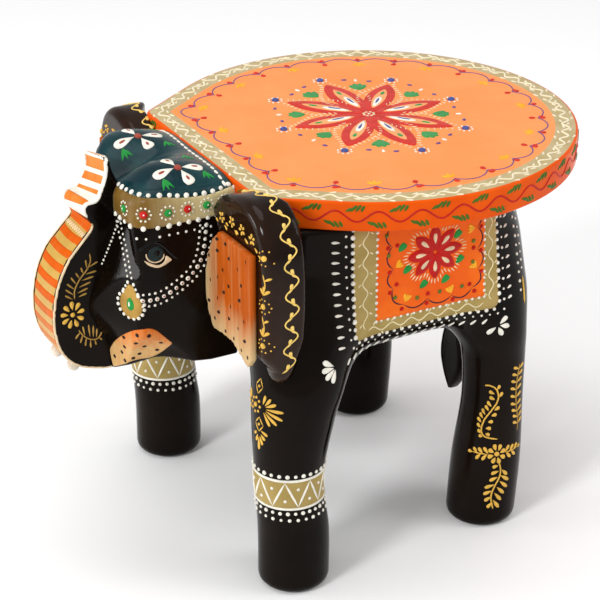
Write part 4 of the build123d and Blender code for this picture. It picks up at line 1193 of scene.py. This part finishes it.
body_skin = skin(carved_body)
girth = pi * LEG_REACH
front_leg = round_leg(FRONT_LEG_X, -91.0)
rear_leg = round_leg(REAR_LEG_X, -81.0)
anklet = PaintCone("anklets", "gold_paint", front_leg, khaki_paint, twin=True)
run = np.linspace(-girth - SEAM_LAP, girth + SEAM_LAP, 92)
anklet.fill(level(run, ANKLET_LOW), level(run, ANKLET_HIGH), 0.3, cells=6)
anklet.dry()
lines = PaintCone("anklet_lines", "raised_white", front_leg, white_paint, twin=True, over=0.25)
for height in (ANKLET_LOW, ANKLET_HIGH):
    lines.line(level(run, height), 1.7)
count = int(round(2 * girth / ANKLET_ZIGZAG))
step = 2 * girth / count
rise = np.linspace(0, 1, 8)
zigzag = ANKLET_LOW + 1.2 + (ANKLET_HIGH - ANKLET_LOW - 2.4) * rise
for n in range(count):
    start, middle = n * step - girth, n * step + step / 2 - girth
    lines.line(np.column_stack([start + rise * step / 2, zigzag]), 1.5)
    lines.line(np.column_stack([middle + rise * step / 2, zigzag[::-1]]), 1.5)
    lines.dot((middle, ANKLET_LOW + 5.5), 2.1)
    lines.dot((start, ANKLET_HIGH - 6.0), 2.1)
for height, spacing, size in (
    (ANKLET_HIGH + 3.2, 5.0, 2.5), (ANKLET_LOW - 3.4, 5.0, 2.4), (ANKLET_LOW - 8.0, 5.6, 2.1),
):
    lines.beads([(-girth, height), (girth, height)], spacing, size)
lines.dry()

bloom = PaintCone("front_leg_flowers", "raised_yellow", front_leg, gold_yellow, twin=True)
bloom.leaves(FRONT_LEAVES, 2.2, 0.5)
bloom.dot(FRONT_SUN, 3.2)
bloom.ring(FRONT_SUN, 4.4, 8, 1.9)
for x, z in DIAMONDS:
    bloom.dot((x, z), 1.9)
    corner = [(x - 3.6, z), (x, z + 4.8), (x + 3.6, z), (x, z - 4.8), (x - 3.6, z)]
    for start, end in zip(corner, corner[1:]):
        bloom.line(np.linspace(start, end, 6), 0.9)
bloom.dry()

bough = PaintCone("rear_leg_branches", "gold_paint", rear_leg, gold_yellow, gold_paint, twin=True)
bough.line(flow(VINE_STEM), 1.1)
bough.line(flow(BRANCH_STEM), 1.1)
bough.leaves(REAR_LEAVES, 2.7, 0.55, longer=0.15)
bough.dot(REAR_FLOWER, 3.4)
bough.flower(REAR_FLOWER, 8, 2.4, 7.0, 3.3, 0.55, first=0.3)
for side in (-1, 1):
    root = REAR_FLOWER + (side * 6.5, 0)
    bough.line(np.linspace(root, root + (side * 13, 0.4), 8), 0.9)
    for reach, lift in ((3, 4), (7, 3.4), (11, 3), (15, 0.4), (4, -3.6), (8.5, -3.4)):
        tip = root + (side * (reach + 0.4), lift * 1.15)
        bough.petal(root + (side * (reach - 3.4), 0.2), tip, 2.6, 0.5)
side_stem = flow(SIDE_STEM)
bough.line(side_stem, 1.0, gold_paint)
for x, z in side_stem[3:38:4]:
    bough.petal((x, z), (x - 5.6, z + 2.2), 2.2, 0.5)
    bough.petal((x, z), (x + 5.6, z + 2.2), 2.2, 0.5)
bough.dry()

# ---------------------------------------------------------------- painted saddle cloth
# A saddle cloth is painted on each side of the body: an orange-red field with a red rosette inside a
# scalloped line, a gold border with a cream vine, and rows of white beads and dashes round it.
CLOTH_X, CLOTH_TOP, CLOTH_FOOT = (-5.5, 68.5), 231.0, 167.0
BORDER_FRONT, BORDER_BACK, BORDER_FOOT = -21.0, 78.5, 158.0
CLOTH_ROSE, CLOTH_MIDDLE = np.array((33.5, 203.5)), np.array((33.5, 215.0))
CUSPS = [
    (4, 226), (4.5, 213), (5.5, 198.5), (5.5, 186), (13, 174.2), (29, 174.4), (46, 172.6), (60, 174.5),
    (64, 186), (63, 199), (62.5, 213), (62, 226),
]
OLIVES = [(0.5, 221), (2, 208), (7, 180), (22, 176.4), (37.5, 177), (53, 177), (60, 191.5), (60, 205)]
ROSE_LEAVES = [(11, 211), (14.5, 196), (26, 184), (41, 184), (50.5, 195), (48.5, 211.5)]
# drops of white fan out at two corners of the cloth: from where, which ways, and how far
CORNER_FANS = [(-39, 151, (2.6, 3.2, 3.8, 4.4), 9.5), (78.6, 145.6, (3.9, 5.15, 6.05, 6.95), 8.0)]

cloth_side = face_on(body_skin, ACROSS, UPWARD)
cloth_red = brushed_paint(
    "cloth_red", (0.76, 0.10, 0.004), (0.84, 0.15, 0.008), gloss=0.34, patch=26.0, shine=0.1
)
rose_red = thick_paint("rose_red", (0.50, 0.008, 0.005))
plum_paint = thick_paint("plum_paint", (0.045, 0.012, 0.03))
tulip_paint = thick_paint("tulip_paint", (0.92, 0.42, 0.02))
olive_paint = thick_paint("olive_paint", (0.13, 0.17, 0.02))
vine_cream = thick_paint("vine_cream", (0.80, 0.70, 0.42))
fringe_paint = thick_paint("fringe_paint", (0.86, 0.60, 0.36))


def cloth_sheet(name, slot, paint, front, back, foot, round_by, thick):
    """A painted sheet hanging from under the seat, with rounded lower corners."""
    sheet = PaintCone(name, slot, cloth_side, paint, twin=True)
    corner = round_by * (1 - np.cos(np.linspace(0.3, pi / 2, 5)))
    middle = np.linspace(front + round_by + 3, back - round_by - 3, 24)
    x = np.r_[front, front + corner, middle, back - corner[::-1], back]
    near = np.minimum(np.minimum(x - front, back - x), round_by)
    low = foot + round_by - np.sqrt(np.maximum(round_by**2 - (round_by - near) ** 2, 0))
    sheet.fill(level(x, low), level(x, CLOTH_TOP), thick, cells=20)
    sheet.dry()


cloth_sheet("cloth_border", "gold_paint", khaki_paint, BORDER_FRONT, BORDER_BACK, BORDER_FOOT, 5.0, 0.2)
cloth_sheet("cloth_field", "cloth_red", cloth_red, *CLOTH_X, CLOTH_FOOT, 1.5, 0.4)
beads = PaintCone("cloth_beads", "raised_white", cloth_side, white_paint, twin=True, over=0.15)
left, right = CLOTH_X
for path, spacing, size in (
    ([(left, 228), (left, CLOTH_FOOT)], 4.1, 2.0),
    ([(left + 3.5, CLOTH_FOOT - 0.2), (right - 3.5, CLOTH_FOOT - 0.2)], 4.4, 1.9),
    ([(right, CLOTH_FOOT), (right, 228)], 4.1, 2.0),
    ([(BORDER_FRONT - 0.6, 229), (BORDER_FRONT - 0.4, BORDER_FOOT + 4)], 4.7, 2.9),
    ([(BORDER_FRONT + 3, BORDER_FOOT - 0.6), (BORDER_BACK - 3, BORDER_FOOT - 0.6)], 5.2, 2.4),
    ([(BORDER_BACK + 0.4, BORDER_FOOT + 4), (BORDER_BACK + 0.4, 229)], 4.7, 2.6),
    ([(-26.2, 226), (-25.5, 163), (-23, 156)], 6.3, 1.6),
    ([(-20, 154), (78, 154)], 5.2, 1.4),
    ([(82.5, 156), (83, 226)], 6.3, 1.6),
    ([(97.5, 163), (95.5, 224)], 5.4, 2.0),
    ([(BORDER_BACK + 22.5, 175), (BORDER_BACK + 21.5, 224)], 5.0, 1.7),
):
    beads.beads(path, spacing, size)
for z in np.arange(160, 228, 6.35):
    beads.petal((-30.2, z - 0.5), (-35.6, z + 0.4), 1.7, 0.5, pointed=0.6)
for z in np.arange(162, 226, 6.2):
    beads.petal((85.5, z), (88.6, z + 1.0), 1.6, 0.5, pointed=0.6)
for x in np.arange(-26, 72, 6.5):
    beads.petal((x, 151), (x - 2.6, 147.6), 1.7, 0.5, pointed=0.6)
for x, z, turns, reach in CORNER_FANS:
    for a in turns:
        root = (x + 1.6 * cos(a), z + 1.6 * sin(a))
        beads.petal(root, (x + reach * cos(a), z + reach * sin(a)), 3.4, 0.7)
beads.dry()
vines = PaintCone(
    "cloth_border_vines", "cream_paint", cloth_side, vine_cream, gold_yellow, twin=True, over=0.2
)
for path in ([(-13.2, 229), (-13.2, 164)], [(-11, 162.4), (68, 162.4)], [(73.4, 164), (73.4, 229)]):
    stem, way, aside = walk(path, 0.8, 1.7, 13.0)
    vines.line(stem, 0.9)
    for n, side in zip(range(4, len(stem) - 3, 8), cycle((1, -1))):
        tip = stem[n] + 1.6 * way[n] + side * 3.2 * aside[n]
        vines.petal(stem[n] + side * 0.8 * aside[n], tip, 1.2, 0.4)
vines.line([(BORDER_BACK + 22.5, z) for z in np.linspace(153, 170, 12)], 1.5, gold_yellow)
vines.dry()

scallops = PaintCone(
    "cloth_scallops", "raised_colour", cloth_side,
    plum_paint, rose_red, tulip_paint, olive_paint, green_paint, twin=True, over=0.4,
)
cusps = np.array(CUSPS, float)
for start, end in zip(cusps, cusps[1:]):
    t = np.linspace(0, 1, 11)[:, None]
    outward = np.array((end[1] - start[1], start[0] - end[0])) / np.linalg.norm(end - start)
    scallops.line(start + (end - start) * t + 4.0 * outward * np.sin(pi * t) ** 0.8, 0.9)
for n, place in enumerate(cusps[1:-1]):
    inward = (CLOTH_MIDDLE - place) / np.linalg.norm(CLOTH_MIDDLE - place)
    scallops.dot(place - 3.0 * inward, 2.8, rose_red)
    if n % 2 == 0:
        scallops.dot(place + 3.2 * inward, 2.8, rose_red)
    else:
        aside = np.array((-inward[1], inward[0]))
        for lean in (-0.8, 0, 0.8):
            tip = place + 6.5 * inward + 3.0 * lean * aside
            scallops.petal(place + 1.5 * inward, tip, 2.2, 0.5, tulip_paint)
for place in OLIVES:
    scallops.dot(place, 2.8, olive_paint)
for x, z in ROSE_LEAVES:
    for lean in (-0.9, 0, 0.9):
        scallops.petal((x - 2.2, z - 1.8), (x + 2.4 + lean, z + 2.2 - lean), 3.4, 0.5, green_paint, 0.3)
scallops.dry()
rose = PaintCone(
    "cloth_roses", "raised_colour", cloth_side, rose_red, cream_paint, fringe_paint, twin=True, over=0.4
)
for a in np.arange(8) * pi / 4 + 0.02:
    way = np.array((1.08 * cos(a), sin(a)))
    rose.petal(CLOTH_ROSE + 1.0 * way, CLOTH_ROSE + 17.0 * way, 8.8, 0.45, pointed=0.2, keen=1.5)
    rose.petal(CLOTH_ROSE + 5.5 * way, CLOTH_ROSE + 12.4 * way, 3.4, 0.75, cream_paint, 0.8)
    for spread in np.linspace(-0.33, 0.33, 7):
        ray = np.array((1.08 * cos(a + spread), sin(a + spread)))
        inner = 17.2 - 36 * spread**2
        rose.petal(CLOTH_ROSE + (inner + 3.4) * ray, CLOTH_ROSE + inner * ray, 0.9, 0.35, fringe_paint, 0.8)
rose.dry()

# ---------------------------------------------------------------- painted seat
# A rosette of eight red petals stands in the middle of the seat, ringed by buds, leaves and fine cream
# strokes. A scalloped line with red berries follows the gold border, which carries a cream squiggle,
# and a red vine with green leaves runs round the rim.
ROSE = np.array((49.5, 7.0))
ROSE_REACH, ROSE_WIDTH, ROSE_STRETCH = 50.0, 20.0, np.array((1.0, 1.14))
SCALLOP_INSET, SCALLOP_SPAN, SCALLOP_DEPTH = 24.5, 23.5, 6.0
SQUIGGLE_INSET, SQUIGGLE_SWING, SQUIGGLE_STEP = 7.6, 2.2, 13.0
RIM_STEP, RIM_SWING, RIM_MIDDLE = 24.6, 3.2, 241.5
# across each bend of the rim's vine: where a leaf begins, the way it turns, and its length
RIM_LEAVES = [(-3.4, 0.45, 4.6), (-0.6, 0.8, 5.4), (2.4, 0.95, 5.2), (5.4, 1.1, 4.2)]

seat_skin = skin(seat_board)
seat_top = face_on(seat_skin, ACROSS, ASIDE)
blue_paint = thick_paint("blue_paint", (0.07, 0.09, 0.30))
violet_paint = thick_paint("violet_paint", (0.16, 0.09, 0.24))
coral_paint = thick_paint("coral_paint", (0.62, 0.030, 0.018))
leaf_paint = thick_paint("leaf_paint", (0.05, 0.30, 0.08))
peach_paint = thick_paint("peach_paint", (0.92, 0.38, 0.14))


def begun_at(path, x, y):
    """A closed path that begins and ends at its point nearest to a place."""
    first = np.hypot(path[:, 0] - x, path[:, 1] - y).argmin()
    path = np.roll(path, -first, axis=0)
    return np.vstack([path, path[:1]])


rose = PaintCone(
    "seat_rosette", "raised_colour", seat_top,
    coral_paint, peach_paint, blue_paint, leaf_paint, violet_paint,
)
lace = PaintCone("seat_rosette_lace", "raised_white", seat_top, white_paint, cream_paint)
for a in np.arange(8) * pi / 4 - 0.03:
    way, aside = ROSE_STRETCH * (cos(a), sin(a)), ROSE_STRETCH[::-1] * (-sin(a), cos(a))
    rose.petal(ROSE + 2 * way, ROSE + (ROSE_REACH + 1) * way, ROSE_WIDTH, 0.35, coral_paint, 0.1, 1.55)
    rose.petal(ROSE + 10 * way, ROSE + (ROSE_REACH - 8) * way, ROSE_WIDTH - 9.5, 0.5, peach_paint, 0.1, 1.4)
    lace.petal(ROSE + 12 * way, ROSE + 29 * way, 5.6, 0.8, white_paint, 0.4)
    rose.petal(ROSE + 17 * way, ROSE + 25.5 * way, 2.2, 1.1, blue_paint, 0.6)
    rose.petal(ROSE + 32 * way, ROSE + 37.5 * way, 3.2, 0.8, leaf_paint, 0.3)
    bud = ROSE + (ROSE_REACH + 8.5) * way
    rose.dot(bud, 5.0, blue_paint)
    lace.ring(bud, 4.2, 8, 1.5)
    for side in (-1, 1):
        sepal = bud - 4.5 * way + side * 11 * aside
        rose.petal(sepal, sepal - way + side * 3 * aside, 2.6, 0.6, violet_paint, 0.4)
        for share in np.linspace(0.3, 1, 12):
            edge = ROSE_WIDTH / 2 * sin(pi * share) ** 1.5 + 1.9
            root = ROSE + (3 + (ROSE_REACH - 2) * share) * way + side * edge * aside
            lace.petal(root, root + side * 2.3 * aside + 1.2 * way, 1.05, 0.4, cream_paint, 0.3)
    between = ROSE_STRETCH * (cos(a + pi / 8), sin(a + pi / 8))
    wide = np.array((-between[1], between[0]))
    leaf = ROSE + 42 * between
    for spread in (-0.9, -0.3, 0.3, 0.9):
        tip = leaf + 7.0 * (between * cos(spread) + 0.8 * wide * sin(spread))
        rose.petal(leaf - 3.5 * between, tip, 4.4, 0.5, leaf_paint, 0.6)
    lace.petal(leaf + 10.5 * between, leaf + 14.0 * between, 2.2, 0.5, white_paint, 0.3)
lace.ring(ROSE, 3.2, 8, 2.2, cream_paint)
lace.dot(ROSE, 2.0)
rose.dot(ROSE, 9.5, coral_paint, rise=0.04)
rose.dry()
lace.dry()

garland = PaintCone("seat_garland", "raised_colour", seat_top, violet_paint, coral_paint, tulip_paint)
stem, way, inward = walk(begun_at(seat_edge(SCALLOP_INSET), JOINT_X, 0), 1.0)
count = 2 * int(round(len(stem) / SCALLOP_SPAN / 2))
span = (len(stem) - 1) / count
bulge = SCALLOP_DEPTH * abs(np.sin(pi * np.arange(len(stem)) / span)) ** 0.7
garland.line(stem - inward * bulge[:, None], 0.95)
for n in range(count):
    spot = int(n * span)
    place, along, inner = stem[spot], way[spot], inward[spot]
    garland.petal(place - 1.6 * inner, place - 5.4 * inner + along, 3.6, 0.6, coral_paint, 0.7)
    if n % 2 == 0:
        garland.petal(place + 0.8 * inner, place + 4.8 * inner + 0.6 * along, 3.8, 0.6, coral_paint, 0.7)
        root = place - 1.6 * inner + 2.4 * along
        garland.petal(root, root - 2.8 * inner + along, 2.2, 0.5, coral_paint, 0.7)
    else:
        for spread in (-0.7, 0, 0.7):
            tip = place + 8 * inner * cos(spread) + 6.5 * along * sin(spread)
            garland.petal(place + 2.0 * inner, tip, 2.6, 0.4, tulip_paint, 0.6)
garland.dry()

pale_cream = thick_paint("pale_cream", (0.85, 0.76, 0.55))
squiggle = PaintCone("seat_border_squiggle", "cream_paint", seat_top, pale_cream)
border_path = begun_at(seat_edge(SQUIGGLE_INSET), JOINT_X, 0)
stem, way, inward = walk(border_path, 0.8, SQUIGGLE_SWING, SQUIGGLE_STEP)
squiggle.line(stem, 1.4)
for n, side in zip(range(3, len(stem) - 3, 6), cycle((1, -1))):
    root = stem[n] + side * 2.6 * inward[n]
    squiggle.petal(root - 1.6 * way[n], root + 2.4 * way[n] + side * 1.4 * inward[n], 1.7, 0.45)
squiggle.dry()

rim_path = begun_at(seat_edge(), SEAT_X, SEAT_RADIUS)
rim = wrapped(seat_skin, np.column_stack([rim_path, 0 * rim_path[:, 0]]), UPWARD)
rim_length = np.linalg.norm(np.diff(rim_path, axis=0), axis=1).sum()
vine_red = thick_paint("vine_red", (0.50, 0.012, 0.008))
vine_green = thick_paint("vine_green", (0.06, 0.14, 0.012))
rim_vine = PaintCone("rim_vine", "raised_colour", rim, vine_red, vine_green)
run = np.linspace(1, rim_length - 1, int(rim_length))
rim_vine.line(level(run, RIM_MIDDLE + RIM_SWING * np.sin(2 * pi * run / RIM_STEP)), 1.2)
bends = np.arange(RIM_STEP / 4, rim_length - RIM_STEP / 2, RIM_STEP / 2)
for s, side in zip(bends, cycle((-1, 1))):
    root = np.array((s - 3.0, RIM_MIDDLE + side * 2.6))
    for aside, turn, long in RIM_LEAVES:
        start = root + (aside, side * 0.4)
        tip = start + long * np.array((cos(turn), side * sin(turn)))
        rim_vine.petal(start, tip, 2.0, 0.4, vine_green, 0.3)
rim_vine.dry()

# ---------------------------------------------------------------- hidden dowels and nails
# Beech dowels join the blocks, and wire nails hold the seat and the ears. They stay inside the wood.
bare_wood = brushed_paint("bare_wood", (0.52, 0.36, 0.20), (0.40, 0.26, 0.13), gloss=0.7, patch=60.0)
nail_steel = brushed_paint("nail_steel", (0.50, 0.50, 0.50), (0.35, 0.34, 0.33), gloss=0.4, metal=1.0)
for node in ("leg_dowels", "head_dowels", "trunk_dowels", "tail_dowel", "seat_nails", "ear_nails"):
    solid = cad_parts[node]
    solid.data.materials.clear()
    solid.data.materials.append(nail_steel if "nails" in node else bare_wood)

# ---------------------------------------------------------------- floor, lamps and camera
# A plain pale floor, four broad soft lamps (left, right, overhead and low in front), and a camera that
# looks down on the stool from about 1.3 metres away.
FLOOR_REACH = 6000.0
floor_corners = [(x * FLOOR_REACH, y * FLOOR_REACH, 0) for x, y in ((-1, -1), (1, -1), (1, 1), (-1, 1))]
floor_white = bpy.data.materials.new("floor_white")
floor_white.use_nodes = True
floor_tree = floor_white.node_tree
wire(floor_tree, floor_tree.nodes["Principled BSDF"], Base_Color=(0.97, 0.97, 0.97, 1), Roughness=0.9)
floor = shaped("floor", floor_corners, [(0, 1, 2, 3)], floor_white)

world = bpy.data.worlds.new("studio")
bpy.context.scene.world = world
world.use_nodes = True
wire(world.node_tree, world.node_tree.nodes["Background"], Color=(1, 1, 1, 1), Strength=0.6)


def soft_lamp(name, place, aim, size, power):
    """A round or oval lamp turned toward the place it lights."""
    lamp = bpy.data.lights.new(name, "AREA")
    lamp.shape = "ELLIPSE"
    lamp.size, lamp.size_y = size
    lamp.energy = power
    stand = bpy.data.objects.new(name, lamp)
    stand.location = place
    stand.rotation_euler = (Vector(aim) - Vector(place)).to_track_quat("-Z", "Y").to_euler()
    bpy.context.scene.collection.objects.link(stand)


soft_lamp("left_window", (-2.0, -0.8, 1.5), (0, 0, 0.15), (0.6, 0.6), 29)
soft_lamp("right_window", (1.5, -1.2, 1.4), (0, 0, 0.15), (1.1, 1.6), 13)
soft_lamp("ceiling_panel", (-0.2, 0.2, 2.0), (0, 0, 0.1), (1.4, 1.4), 12)
soft_lamp("front_window", (-1.80, 0.94, 0.38), (-0.13, -0.03, 0.21), (0.7, 0.5), 9)

CAMERA_PLACE, CAMERA_AIM = (-0.54683, -1.02304, 0.70851), (0.4212, 0.7917, -0.4424)
camera = bpy.data.cameras.new("camera")
camera.lens = 122.97
camera.sensor_width = 36.0
camera_stand = bpy.data.objects.new("camera", camera)
camera_stand.location = CAMERA_PLACE
camera_stand.rotation_euler = Vector(CAMERA_AIM).to_track_quat("-Z", "Y").to_euler()
bpy.context.scene.collection.objects.link(camera_stand)
bpy.context.scene.camera = camera_stand
bpy.context.scene.view_settings.view_transform = "Standard"
